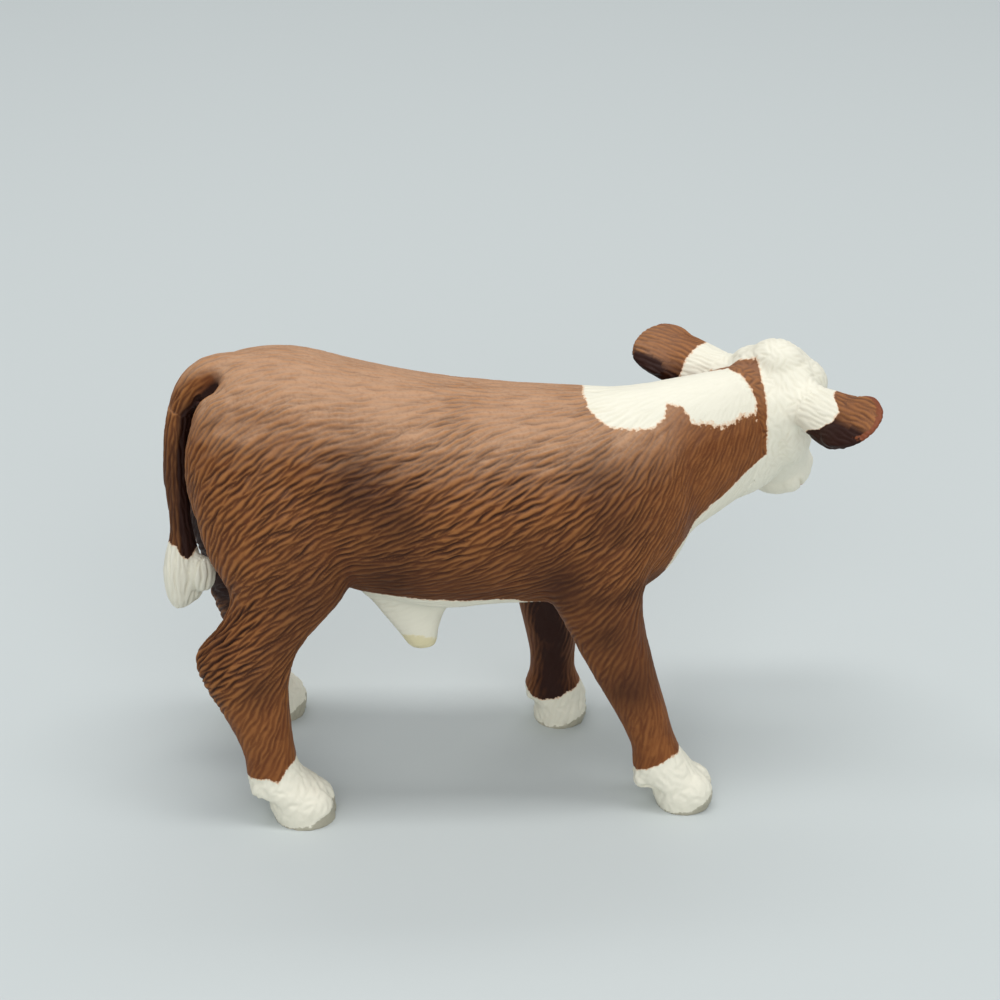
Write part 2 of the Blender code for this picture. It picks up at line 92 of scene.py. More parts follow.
# Centre and half axes in mm: along the nose, to the calf's left, and up through the poll
HEAD_CLAY = [
    ((1.8, 2.7, 2.6), (2.8, 1.3, 1.2)),
    ((1.8, -2.7, 2.6), (2.8, 1.2, 1.2)),
    ((2.3, 4.5, 1.4), (1.5, 1.5, 1.5)),
    ((2.3, -4.5, 1.4), (1.5, 1.5, 1.5)),
    ((1.2, 3.2, -2.9), (4.8, 2.0, 3.0)),
    ((1.2, -3.2, -2.9), (4.8, 2.0, 3.0)),
    ((13.2, 0.0, -4.1), (2.4, 2.7, 1.5)),
    ((12.9, 2.0, -3.1), (2.3, 1.8, 2.0)),
    ((12.9, -2.0, -3.1), (2.3, 1.8, 2.0)),
    ((0.2, 1.9, 3.3), (3.0, 2.2, 2.3)),
    ((0.2, -1.8, 3.3), (3.0, 2.0, 2.3)),
    ((14.2, 2.1, -0.7), (1.6, 1.8, 1.7)),
    ((14.2, -2.1, -0.7), (1.6, 1.8, 1.7)),
    ((-3.4, 0.0, 2.8), (2.8, 3.2, 2.7)),
    ((-0.8, 2.5, 2.5), (3.2, 3.0, 2.7)),
    ((-0.8, -2.5, 2.5), (3.2, 3.0, 2.7)),
]
# Centre and half axes in mm, along the calf's own axes
BODY_CLAY = [
    ((-33.1, -3.3, 24.8), (1.6, 1.5, 2.3)),
    ((-35.0, -1.9, 23.2), (1.9, 1.8, 2.8)),
    ((-28.3, -6.2, 38.5), (5.5, 4.0, 9.5)),
    ((-29.6, -5.3, 43.2), (3.3, 2.5, 4.0)),
    ((-29.6, 0.9, 43.2), (3.3, 2.5, 4.0)),
    ((-28.4, -2.2, 35.0), (4.2, 3.0, 8.0)),
    ((-28.4, 3.9, 37.0), (6.4, 4.0, 9.5)),
    ((-30.8, 4.8, 28.0), (4.7, 3.3, 7.5)),
    ((-30.2, 5.4, 23.0), (4.4, 2.8, 7.0)),
]
# Centre from the middle of each sole, and half axes, in mm: the claws, then each foot's dewclaws
CLAWS = [((0.4, 0.9, 1.6), (2.8, 2.2, 2.7)), ((0.4, -0.9, 1.6), (2.8, 2.2, 2.7))]
DEWCLAWS = {
    "sole_hind_right": [((-4.3, 1.0, 4.2), (1.5, 1.2, 1.5)), ((-4.3, -1.0, 4.2), (1.5, 1.3, 1.5))],
    "sole_hind_left": [((-4.2, 0.9, 4.4), (1.3, 1.1, 1.3)), ((-4.2, -0.9, 4.4), (1.3, 1.1, 1.3))],
    "sole_fore_right": [((-4.3, 0.9, 3.4), (1.4, 1.1, 1.7)), ((-4.3, -0.9, 3.4), (1.4, 1.1, 1.7))],
    "sole_fore_left": [((-3.0, 0.9, 3.2), (1.0, 0.9, 1.1)), ((-3.0, -0.9, 3.2), (1.0, 0.9, 1.1))],
}
# Centre and half axes in mm, in the ear's own axes
EAR_CLAY = {"right": [((12.5, 0.0, 0.0), (3.9, 3.6, 0.9))], "left": [((12.2, 0.2, 0.0), (3.4, 3.7, 0.85))]}

EAR_LENGTH = 15 * MM
EAR_ROOT = Vector((-1.06, 1.08, 0.73)) * MM
EAR_TWIST = math.radians(75)
EAR_SWEEPS = {"right": math.radians(38), "left": math.radians(-4)}
EAR_RAISES = {"right": math.radians(-19), "left": math.radians(9)}
HANDS = {"right": -1, "left": 1}


def ear_frame(side):
    """Ear axes: x out along the ear, y across it, z out of its back, from its root in the skull."""
    hand = HANDS[side]
    root = Matrix.Translation((EAR_ROOT.x, hand * EAR_ROOT.y, EAR_ROOT.z))
    outward = Matrix.Rotation(hand * (math.pi / 2 + EAR_SWEEPS[side]), 4, "Z")
    raised = Matrix.Rotation(-EAR_RAISES[side], 4, "Y")
    return head_frame @ root @ outward @ raised @ Matrix.Rotation(-hand * EAR_TWIST, 4, "X")


def lump(sculpt, place, centre, radii):
    """Add an egg of clay at a place's frame."""
    axes = Matrix.Diagonal((*[radius * MM + SEAM_FILL for radius in radii], 1))
    matrix = place @ Matrix.Translation(Vector(centre) * MM) @ axes
    bmesh.ops.create_icosphere(sculpt, subdivisions=LUMP_FINENESS, radius=1, matrix=matrix)


def numbers(items, field, width, kind=np.float32):
    """One field of a mesh's items as an array."""
    values = np.empty(len(items) * width, kind)
    items.foreach_get(field, values)
    return values.reshape(-1, width) if width > 1 else values


def relaxed(values, edges, rounds, share=0.5):
    """Move the values of each point towards the mean of its neighbours."""
    count = len(values)
    ends = np.concatenate((edges, edges[:, ::-1]))
    degree = np.maximum(np.bincount(ends[:, 0], minlength=count), 1)
    for _ in range(rounds):
        columns = [np.bincount(ends[:, 0], column[ends[:, 1]], count) for column in values.T]
        values = values + share * (np.stack(columns, 1) / degree[:, None] - values)
    return values


def reshape_skin(points):
    """Put the skin's points in new places and return its normals."""
    skin.data.vertices.foreach_set("co", points.astype(np.float32).ravel())
    skin.data.update()
    return numbers(skin.data.vertex_normals, "vector", 3).astype(float)


sculpt = bmesh.new()
for node in frame["nodes"].values():
    sculpt.from_mesh(node.data)
bmesh.ops.remove_doubles(sculpt, verts=sculpt.verts, dist=WELD)
sculpt.normal_update()
for vert in sculpt.verts:
    vert.co += vert.normal * SEAM_FILL
for centre, radii in HEAD_CLAY:
    lump(sculpt, head_frame, centre, radii)
for centre, radii in BODY_CLAY:
    lump(sculpt, Matrix(), centre, radii)
soles = {mount["name"]: Vector(mount["pos_m"]) for mount in frame["record"]["mounts"]}
for name, sole in soles.items():
    for centre, radii in CLAWS + DEWCLAWS[name]:
        lump(sculpt, Matrix.Translation(sole), centre, radii)
for side, eggs in EAR_CLAY.items():
    for centre, radii in eggs:
        lump(sculpt, ear_frame(side), centre, radii)
rough = bpy.data.meshes.new("rough")
sculpt.to_mesh(rough)
sculpt.free()
skin = bpy.data.objects.new("skin", rough)
bpy.context.scene.collection.objects.link(skin)
fuse = skin.modifiers.new("fuse", "REMESH")
fuse.mode = "VOXEL"
fuse.voxel_size = SKIN_GRAIN
fused = bpy.data.meshes.new_from_object(skin.evaluated_get(bpy.context.evaluated_depsgraph_get()))
skin.modifiers.clear()
skin.data = fused
edges = numbers(skin.data.edges, "vertices", 2, np.int32)
points = relaxed(numbers(skin.data.vertices, "co", 3).astype(float), edges, SKIN_ROUNDS)
points -= reshape_skin(points) * SEAM_FILL
points[:, 2] = np.where(points[:, 2] < SOLE_ROUNDING, 0, points[:, 2])
reshape_skin(points)


# The seams
# Where the mouldings meet: each leg just under the belly, the tail below the croup, the ears
# beside the skull and the head behind the jaw. The skin is cut across there, so that
# each moulding keeps its own share of it.
PEG_LENGTH = 3 * MM
LEG_REACH = 10 * MM
NECK_SEAM = (Vector((22.35, 1.13, 39.08)) * MM, Vector((0.643, 0.766, 0)), 11 * MM)
TAIL_SEAM = (Vector((-34.17, -2.23, 43.81)) * MM, Vector((-0.304, 0, -0.953)), 3.2 * MM)
TAIL_TIP = Vector((-35.1, -1.8, 20.3)) * MM
NOSE_TIP = Vector((15, 0, 0)) * MM
SEAM_HOLD_ROUNDS = 4
SEAM_HOLD_STRENGTH = 3
EAR_REACH = 5 * MM
EAR_SEAM_SHARE = 0.38


def leg_seam(name):
    """The seam of a leg, at the foot of its peg."""
    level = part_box(name)[1].z - PEG_LENGTH
    peg = [vert.co for vert in frame["nodes"][name].data.vertices if vert.co.z > level + PEG_LENGTH / 2]
    middle = sum(peg, Vector()) / len(peg)
    return Vector((middle.x, middle.y, level)), Vector((0, 0, -1)), LEG_REACH


def cut_across(solid, seam, tip, number):
    """Cut a skin across at a seam and number the faces of the part that holds the tip."""
    middle, heading, reach = seam
    near = [face for face in solid.faces if (face.verts[0].co - middle).length_squared < reach * reach]
    around = near + list({edge for face in near for edge in face.edges})
    around += list({vert for face in near for vert in face.verts})
    cut = bmesh.ops.bisect_plane(solid, geom=around, plane_co=middle, plane_no=heading, dist=WELD)
    rim = {item for item in cut["geom_cut"] if isinstance(item, bmesh.types.BMEdge)}
    start = min(solid.verts, key=lambda vert: (vert.co - tip).length_squared).link_faces[0]
    start.material_index = number
    waiting = [start]
    while waiting:
        for edge in waiting.pop().edges:
            if edge in rim:
                continue
            for face in edge.link_faces:
                if face.material_index != number:
                    face.material_index = number
                    waiting.append(face)


seams = {"head": (NECK_SEAM, head_frame @ NOSE_TIP), "tail": (TAIL_SEAM, TAIL_TIP)}
for side in HANDS:
    ear = ear_frame(side)
    middle = ear @ Vector((EAR_SEAM_SHARE * EAR_LENGTH, 0, 0))
    seam = (middle, ear.to_3x3() @ Vector((1, 0, 0)), EAR_REACH)
    seams["ear_" + side] = (seam, ear @ Vector((EAR_LENGTH, 0, 0)))
    for pair in ("hind", "fore"):
        name = f"leg_{pair}_{side}"
        seams[name] = (leg_seam(name), soles[f"sole_{pair}_{side}"])
solid = bmesh.new()
solid.from_mesh(skin.data)
for face in solid.faces:
    face.material_index = 0
piece_numbers = {"body": 0}
for number, (name, (seam, tip)) in enumerate(seams.items(), 1):
    cut_across(solid, seam, tip, number)
    piece_numbers[name] = number
solid.to_mesh(skin.data)
solid.free()

edges = numbers(skin.data.edges, "vertices", 2, np.int32)
points = numbers(skin.data.vertices, "co", 3).astype(float)
normals = reshape_skin(points)
marks = numbers(skin.data.polygons, "material_index", 1, np.int32)
corners = numbers(skin.data.polygons, "loop_total", 1, np.int32)
corner_points = numbers(skin.data.loops, "vertex_index", 1, np.int32)
owners = np.zeros(len(points), np.int32)
owners[corner_points] = np.repeat(marks, corners)
other_owner = np.zeros(len(points), np.int32)
other_owner[corner_points[::-1]] = np.repeat(marks, corners)[::-1]
on_seam = (owners != other_owner).astype(float)
near_seam = SEAM_HOLD_STRENGTH * relaxed(on_seam[:, None], edges, SEAM_HOLD_ROUNDS)[:, 0]
seam_hold = np.clip(1 - near_seam, 0, 1) * (on_seam == 0)


# The coat
# The hair is carved in the master sculpt as locks: wavy grooves 3 to 5 mm long, about
# 0.9 mm apart, deep on flank, rump and hock and faint on the back and the cannons.
# The moulds take them over, so they are real relief, and they run across the leg seams.
# Of one lock: its length, the least gap to the next along it and beside it, and the groove's half width
LOCK_SIZES = (4.3 * MM, 1.7 * MM, 0.56 * MM, 0.17 * MM)
CLUMP_SIZES = (7.0 * MM, 4.2 * MM, 2.3 * MM, 0.55 * MM)
LOCK_WAVE = 0.08 * MM
LOCK_WAVE_LENGTH = 2.4 * MM
CLUMP_SHARE = 0.40
GUIDE_SPREAD = 3.0 * MM
SWIRL = math.radians(8)
SWIRL_SIZE = 3.2 * MM
COAT_JITTER = math.radians(5)
COAT_DEPTH = 1.4
NECK_FINENESS = 0.72
COMB_SEED = 7
DEEPEST = 0.25 * MM
TINY = 1e-12
# From one lock to the next: how wavy it is, how deep, and how narrow its ends are
LOCK_WAVINESS = (0.3, 1.0)
LOCK_LUCK = (0.5, 1.15)
LOCK_END = 0.6
SAME_SIDE = 0.2
# How far forward the neck's finer hair begins and is finest, in mm
NECK_RUN = (9, 17)

# Seen from the calf's right side: x and z in mm, the slope of the hair in degrees and the depth of
# its grooves in mm
COAT_GUIDES = [
    (-28, 49, 22, 0.075), (-32, 42, 58, 0.12), (-30, 32, 62, 0.14), (-28, 39, 43, 0.17), (-23, 45, 24, 0.11),
    (-23, 40, 34, 0.19), (-23, 31, 30, 0.17), (-17, 31, 22, 0.15), (-16, 38, 29, 0.17), (-16, 26, 22, 0.08),
    (-9, 40, 30, 0.18), (-7, 33, 28, 0.20), (-7, 27, 16, 0.07), (-12, 47, 18, 0.06), (-20, 49, 12, 0.055),
    (1, 46, 24, 0.075), (2, 38, 30, 0.20), (2, 29, 26, 0.13), (8, 43, 38, 0.14), (9, 35, 42, 0.18),
    (6, 27, 36, 0.09), (13, 40, 50, 0.16), (13, 28, 40, 0.15), (19, 41, 60, 0.10), (23, 41, 68, 0.07),
    (20, 34, 62, 0.09), (11, 46, 40, 0.055), (20, 45, 46, 0.02), (15, 47, 42, 0.02), (25, 46, 60, 0.02),
    (20, 28, 60, 0.09), (10, 20, 60, 0.07), (13, 13, 82, 0.045), (16, 8, 76, 0.035), (-29, 23, 40, 0.22),
    (-32, 19, 37, 0.22), (-24, 21, 32, 0.14), (-27, 12, 66, 0.06), (-24, 6, 60, 0.03), (4, 12, 82, 0.05),
    (-9, 19, 20, 0.01), (-22, 2, 45, 0.02), (18, 2, 45, 0.02),
]


def unit(vectors):
    """Vectors brought to length 1."""
    return vectors / np.maximum(np.linalg.norm(vectors, axis=1, keepdims=True), TINY)


def flattened(ways, normals):
    """Directions laid flat on the skin."""
    return unit(ways - normals * (ways * normals).sum(1, keepdims=True))


def guided(points, guides, spread):
    """Slope and depth at each point, mixed from the guides near it."""
    table = np.array(guides, float)
    places = table[:, :2] * MM
    gaps = ((points[:, None, (0, 2)] - places[None]) ** 2).sum(2)
    weights = 1 / (gaps + spread * spread) ** 2
    weights /= weights.sum(1, keepdims=True)
    slopes = np.radians(table[:, 2])
    slope = np.arctan2(weights @ np.sin(slopes), weights @ np.cos(slopes))
    return slope, weights @ table[:, 3] * MM


def drift(points, size, phase):
    """A slow wave through space, between -1 and 1."""
    x, y, z = (points / size).T
    slow = np.sin(x + 1.7 * np.sin(0.9 * z + phase)) * np.cos(1.1 * z + phase)
    return (slow + np.sin(1.3 * y + x + 2 * phase)) / 2


def comb(members, ways, depth, sizes, jitter, seed, fineness=None):
    """Carve locks into some points of the skin: their depths, and a number from -1 to 1 for each lock."""
    fineness = np.ones(len(members)) if fineness is None else fineness
    here = points[members]
    normal = normals[members]
    rng = np.random.default_rng(seed)
    tree = kdtree.KDTree(len(here))
    for index, point in enumerate(here):
        tree.insert(point, index)
    tree.balance()
    taken = depth <= 0
    depths = np.zeros(len(here))
    locks = np.zeros(len(here))
    for start in rng.permutation(len(here)):
        if taken[start]:
            continue
        turn = rng.normal(0, jitter)
        length, apart, beside, groove = np.array(sizes) * fineness[start]
        least = (0, LOCK_WAVINESS[0], LOCK_LUCK[0], -1)
        most = (2 * math.pi, LOCK_WAVINESS[1], LOCK_LUCK[1], 1)
        phase, wave, luck, tag = rng.uniform(least, most)
        way = ways[start] * math.cos(turn) + np.cross(normal[start], ways[start]) * math.sin(turn)
        across = np.cross(normal[start], way)
        near = np.array([hit[1] for hit in tree.find_range(here[start], length / 2)])
        near = near[normal[near] @ normal[start] > SAME_SIDE]
        along = (here[near] - here[start]) @ way
        aside = (here[near] - here[start]) @ across
        taken[near[(along / apart) ** 2 + (aside / beside) ** 2 < 1]] = True
        curl = (ways[near] @ across * along).sum() / max((along * along).sum(), TINY)
        waving = np.sin(along / LOCK_WAVE_LENGTH * 2 * math.pi + phase)
        line = curl * along ** 2 / 2 + wave * LOCK_WAVE * waving
        taper = np.clip(1 - (2 * along / length) ** 2, 0, 1)
        half = groove * (LOCK_END + (1 - LOCK_END) * taper)
        cut = depth[start] * luck * taper * np.exp(-((aside - line) / half) ** 2)
        deeper = cut > depths[near]
        depths[near[deeper]] = cut[deeper]
        locks[near[np.abs(aside - line) < beside]] = tag
    return depths, locks


def members_of(*names):
    """The points of the skin that belong to some mouldings."""
    return np.flatnonzero(np.isin(owners, [piece_numbers[name] for name in names]))


grooves = np.zeros(len(points))
locks = np.zeros(len(points))
coated = members_of("body", *[name for name in piece_numbers if name.startswith("leg_")])
slope, depth = guided(points[coated], COAT_GUIDES, GUIDE_SPREAD)
slope += SWIRL * drift(points[coated], SWIRL_SIZE, 0.4)
ways = flattened(np.stack((np.cos(slope), np.zeros(len(coated)), np.sin(slope)), 1), normals[coated])
depth[points[coated, 2] < SEAM_FILL] = 0
depth *= COAT_DEPTH
fineness = np.interp(points[coated, 0] / MM, NECK_RUN, (1, NECK_FINENESS))
clumps, _ = comb(coated, ways, depth * CLUMP_SHARE, CLUMP_SIZES, COAT_JITTER, COMB_SEED)
depth *= fineness
grooves[coated], locks[coated] = comb(coated, ways, depth, LOCK_SIZES, COAT_JITTER, COMB_SEED + 1, fineness)
points[coated] -= normals[coated] * (grooves[coated] + clumps)[:, None]
normals = reshape_skin(points)


# The paint
# Matt acrylic, brushed by hand on primed PVC: flat brown, a thin dark wash that stays in the
# grooves, pale strokes over the ridges and opaque cream with ragged edges where hair meets hair.
# The eye sees a dry, slightly uneven surface with hardly any shine.
# Painted shade darkens hollows and facing sides; painted sheen and paler paint lighten the back.
PVC_PAINT_IOR = 1.5
PAINT_GLOSS = 0.22
BROWN_MID = "#6f3c1a"
BROWN_LIT = "#864f26"
BROWN_PALE = "#a9703c"
# Paler paint and painted sheen on the top of the back
BROWN_TOP = "#c29a7a"
BROWN_DEEP = "#2f1508"
# Dark wash and painted shade
BROWN_WASH_AND_SHADE = "#2b1006"
CREAM = "#ede9d7"
CREAM_SHADE = "#c9bfa2"
CREAM_RIM = "#dcab80"
MOTTLE_SIZE = 2.2 * MM
SPECKLE_SIZE = 0.35 * MM
STIPPLE_SIZE = 0.16 * MM
STIPPLE_DEPTH = 0.012 * MM
EDGE_SOFT = 0.04
RIM_WIDTH = 0.22
RIM_COVER = 0.8
DIP_SHADE = 0.6
LOCK_TONE = 0.20
TONE_SPREAD = (0.25, 0.75)
SHEEN_AND_WEAR_LIFT = 0.6
BRUSHING = 0.70
POOLING = 0.9
WASH_AND_SHADE_MOTTLE = (0.8, 0.6)
MOTTLE_SPREAD = (0.3, 0.7)
BROWN_ROUGHNESS = (0.54, 0.66)
# The spine in plan, in mm: the neck bends to the calf's left
SPINE = [(-35, -2.23), (6.8, -2.23), (12.9, -1.88), (17.7, -0.9), (22.3, 1.13), (25.7, 3.37), (27.8, 4.77),
         (32.8, 8.1)]
SPINE_START = 41.8
# Places where painted shade lies thick in the hollows, seen from the side: x, z, radius and strength
SHADE_SPOTS = [
    (-15.6, 39.5, 3.8, 0.65), (-11.3, 36.4, 3.0, 0.50), (-12.5, 28.0, 5.4, 0.70), (8.9, 39.8, 2.8, 0.40),
    (10.8, 34.5, 3.4, 0.45), (5.2, 27.6, 3.8, 0.75), (-4.0, 27.0, 4.5, 0.45), (2.0, 32.5, 3.4, 0.30),
    (-21.0, 26.5, 4.0, 0.45), (14.5, 25.5, 3.6, 0.35), (17.0, 19.0, 2.8, 0.60), (12.5, 15.5, 3.2, 0.75),
    (-31.0, 21.5, 2.2, 0.40), (-26.5, 17.0, 2.4, 0.45), (-24.0, 21.5, 2.8, 0.35), (14.5, 39.5, 2.4, 0.25),
    (20.5, 31.5, 2.6, 0.25), (-21.5, 33.0, 3.0, 0.20), (10.2, 21.8, 3.4, 0.60),
]


def linear(code):
    """A colour written as sRGB hex, as linear red, green, blue and alpha."""
    shares = [int(code[place:place + 2], 16) / 255 for place in (1, 3, 5)]
    light = [share / 12.92 if share <= 0.04045 else ((share + 0.055) / 1.055) ** 2.4 for share in shares]
    return (*light, 1)


def add(tree, kind, inputs=None, **settings):
    """Add a node with its settings; each input is given a value or a link."""
    node = tree.nodes.new(kind)
    for name, value in settings.items():
        setattr(node, name, value)
    for socket, value in (inputs or {}).items():
        if isinstance(value, bpy.types.NodeSocket):
            tree.links.new(value, node.inputs[socket])
        else:
            node.inputs[socket].default_value = value
    return node.outputs[2] if kind == "ShaderNodeMix" and node.data_type == "RGBA" else node.outputs[0]


def maths(tree, operation, *values, clamp=False):
    """Add a node that works on two or three numbers."""
    return add(tree, "ShaderNodeMath", dict(enumerate(values)), operation=operation, use_clamp=clamp)


def mixed(tree, share, under, over):
    """Add a node that lays a share of one colour over another."""
    return add(tree, "ShaderNodeMix", {0: share, 6: under, 7: over}, data_type="RGBA")


def painted(name, layers):
    """Brown over all, then coats of paint, each where its field is above zero.

    A coat is its field, its colour, that in the grooves and at the edge, raggedness, and roughness.
    """
    material = bpy.data.materials.new(name)
    material.use_nodes = True
    tree = material.node_tree
    shader = tree.nodes["Principled BSDF"]
    shader.inputs["IOR"].default_value = PVC_PAINT_IOR
    shader.inputs["Metallic"].default_value = 0
    shader.inputs["Specular IOR Level"].default_value = PAINT_GLOSS
    place = tree.nodes.new("ShaderNodeTexCoord").outputs["Object"]
    fields = {}
    for field in ("groove", "ridge", "lock", "dark_wash_and_shade", "top", *[layer[0] for layer in layers]):
        fields[field] = add(tree, "ShaderNodeAttribute", attribute_name=field).node.outputs["Fac"]
    mottle = add(tree, "ShaderNodeTexNoise", {"Vector": place, "Scale": 1 / MOTTLE_SIZE, "Detail": 3})
    speckle = add(tree, "ShaderNodeTexNoise", {"Vector": place, "Scale": 1 / SPECKLE_SIZE, "Detail": 2})
    stipple = add(tree, "ShaderNodeTexNoise", {"Vector": place, "Scale": 1 / STIPPLE_SIZE, "Detail": 1})
    shift = maths(tree, "MULTIPLY_ADD", fields["lock"], LOCK_TONE, mottle)
    tone = add(tree, "ShaderNodeMapRange", {0: shift, 1: TONE_SPREAD[0], 2: TONE_SPREAD[1]})
    brown = mixed(tree, tone, linear(BROWN_MID), linear(BROWN_LIT))
    # Paler paint and painted sheen where the skin faces up
    sheen_and_wear = maths(tree, "MULTIPLY", maths(tree, "ADD", speckle, SHEEN_AND_WEAR_LIFT), fields["top"], clamp=True)
    brown = mixed(tree, sheen_and_wear, brown, linear(BROWN_TOP))
    brushed = maths(tree, "MULTIPLY", fields["ridge"], BRUSHING, clamp=True)
    brown = mixed(tree, brushed, brown, linear(BROWN_PALE))
    pooled = maths(tree, "MULTIPLY", fields["groove"], POOLING, clamp=True)
    brown = mixed(tree, pooled, brown, linear(BROWN_DEEP))
    # Dark wash and painted shade, broken up by the mottle
    wash_and_shade = maths(tree, "MULTIPLY_ADD", mottle, *WASH_AND_SHADE_MOTTLE)
    wash_and_shade = maths(tree, "MULTIPLY", wash_and_shade, fields["dark_wash_and_shade"], clamp=True)
    colour = mixed(tree, wash_and_shade, brown, linear(BROWN_WASH_AND_SHADE))
    rough = add(tree, "ShaderNodeMapRange", {0: mottle, 1: MOTTLE_SPREAD[0], 2: MOTTLE_SPREAD[1],
                                             3: BROWN_ROUGHNESS[0], 4: BROWN_ROUGHNESS[1]})
    ragged = maths(tree, "SUBTRACT", speckle, 0.5)
    for field, paint, shade, rim, raggedness, roughness in layers:
        torn = maths(tree, "MULTIPLY_ADD", ragged, raggedness, fields[field])
        torn = maths(tree, "MULTIPLY_ADD", fields["lock"], raggedness / 8, torn)
        cover = add(tree, "ShaderNodeMapRange", {0: torn, 1: -EDGE_SOFT, 2: EDGE_SOFT})
        coat = mixed(tree, maths(tree, "MULTIPLY", pooled, DIP_SHADE), linear(paint), linear(shade))
        thin = add(tree, "ShaderNodeMapRange", {0: torn, 1: 0, 2: RIM_WIDTH, 3: RIM_COVER, 4: 0})
        coat = mixed(tree, thin, coat, linear(rim))
        colour = mixed(tree, cover, colour, coat)
        rough = add(tree, "ShaderNodeMix", {0: cover, 2: rough, 3: roughness})
    grain = add(tree, "ShaderNodeBump", {"Height": stipple, "Strength": 1, "Distance": STIPPLE_DEPTH})
    tree.links.new(colour, shader.inputs["Base Color"])
    tree.links.new(rough, shader.inputs["Roughness"])
    tree.links.new(grain, shader.inputs["Normal"])
    return material


def along_spine(places):
    """How far along the spine each place is, and how far to the left of it, in mm."""
    path = np.array(SPINE)
    flat = places[:, :2] / MM
    nearest = np.full(len(flat), np.inf)
    along = np.zeros(len(flat))
    aside = np.zeros(len(flat))
    done = 0
    for start, end in zip(path, path[1:]):
        length = np.hypot(*(end - start))
        way = (end - start) / length
        reach = np.clip((flat - start) @ way, 0, length)
        gap = flat - start - reach[:, None] * way
        distance = np.hypot(*gap.T)
        closer = distance < nearest
        nearest[closer] = distance[closer]
        along[closer] = done + reach[closer]
        aside[closer] = (way[0] * gap[:, 1] - way[1] * gap[:, 0])[closer]
        done += length
    return along - SPINE_START, aside


def inside(across, up, outline):
    """How far inside an outline each place is, and below zero outside it."""
    places = np.stack((across, up), 1)
    best = np.full(len(places), np.inf)
    within = np.zeros(len(places), bool)
    corners_in_turn = np.array(outline, float)
    for start, end in zip(corners_in_turn, np.roll(corners_in_turn, -1, 0)):
        way = end - start
        share = np.clip((places - start) @ way / (way @ way), 0, 1)
        best = np.minimum(best, np.hypot(*(places - start - share[:, None] * way).T))
        crosses = (start[1] > up) != (end[1] > up)
        meets = start[0] + (up - start[1]) * way[0] / (way[1] or TINY)
        within ^= crosses & (across < meets)
    return np.where(within, best, -best)


def keep(mesh, name, values):
    """Store one number for each point, for the paints to read."""
    mesh.attributes.new(name, "FLOAT", "POINT").data.foreach_set("value", values.astype(np.float32))


def rim_loops(starts, ends):
    """Chains of directed edges, one chain for each hole."""
    onward = {}
    for start, end in zip(starts.tolist(), ends.tolist()):
        onward.setdefault(start, []).append(end)
    loops = []
    while onward:
        here = next(iter(onward))
        loop = []
        while here in onward:
            there = onward[here].pop()
            if not onward[here]:
                del onward[here]
            loop.append((here, there))
            here = there
        loops.append(np.array(loop))
    return loops


def moulding(name, material, fields):
    """Take one piece off the skin, close it where it is glued, and hand it its paint."""
    chosen = marks == piece_numbers[name]
    members, spots = np.unique(corner_points[np.repeat(chosen, corners)], return_inverse=True)
    places = points[members]
    sizes = corners[chosen]
    first = np.cumsum(sizes) - sizes
    following = np.arange(len(spots)) + 1
    following[first + sizes - 1] = first
    onward = spots[following]
    count = len(members)
    rim = ~np.isin(spots * count + onward, onward * count + spots)
    for loop in rim_loops(onward[rim], spots[rim]):
        around = places[loop[:, 0]]
        outward = np.cross(around, places[loop[:, 1]]).sum(0)
        patch = np.array(tessellate_polygon([[Vector(place) for place in around]]))
        one, two, three = around[patch].transpose(1, 0, 2)
        facing = np.cross(two - one, three - one)
        if facing.sum(0) @ outward < 0:
            patch = patch[:, ::-1]
        spots = np.concatenate((spots, loop[patch, 0].ravel()))
        sizes = np.concatenate((sizes, np.full(len(patch), 3)))
    mesh = bpy.data.meshes.new(name + "_skin")
    mesh.vertices.add(len(places))
    mesh.vertices.foreach_set("co", places.astype(np.float32).ravel())
    mesh.loops.add(len(spots))
    mesh.loops.foreach_set("vertex_index", spots.astype(np.int32))
    mesh.polygons.add(len(sizes))
    mesh.polygons.foreach_set("loop_start", (np.cumsum(sizes) - sizes).astype(np.int32))
    mesh.update(calc_edges=True)
    for field, values in fields.items():
        keep(mesh, field, values[members])
    mesh.polygons.foreach_set("use_smooth", np.arange(len(sizes)) < chosen.sum())
    mesh.normals_split_custom_set_from_vertices(normals[members])
    mesh.materials.append(material)
    piece = bpy.data.objects.new(name + "_moulding", mesh)
    bpy.context.scene.collection.objects.link(piece)
    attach(piece, "root")
    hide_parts(name)


def ramp(values, start, full):
    """From 0 where the values reach the start, up to 1 where they are full."""
    return np.clip((values - start) / (full - start), 0, 1)


def profile(values, table):
    """Read a table of pairs at each value."""
    return np.interp(values, *zip(*table))


def relief(rounds):
    """How far each point stands out from the skin round it, in mm."""
    level = relaxed(points, edges, rounds)
    return ((points - level) * normals).sum(1) / MM


RELIEF_ROUNDS = 10
TOP_ROUNDS = 12
RIDGE_HEIGHT = 0.05
s_along, s_aside = along_spine(points)
x_mm, y_mm, z_mm = (points / MM).T
# Dark wash and painted shade, starting with the painted shade of the hollows
dark_wash_and_shade = np.zeros(len(points))
for x, z, radius, strength in SHADE_SPOTS:
    spot = strength * np.exp(-((x_mm - x) ** 2 + (z_mm - z) ** 2) / radius ** 2)
    dark_wash_and_shade = 1 - (1 - dark_wash_and_shade) * (1 - spot)


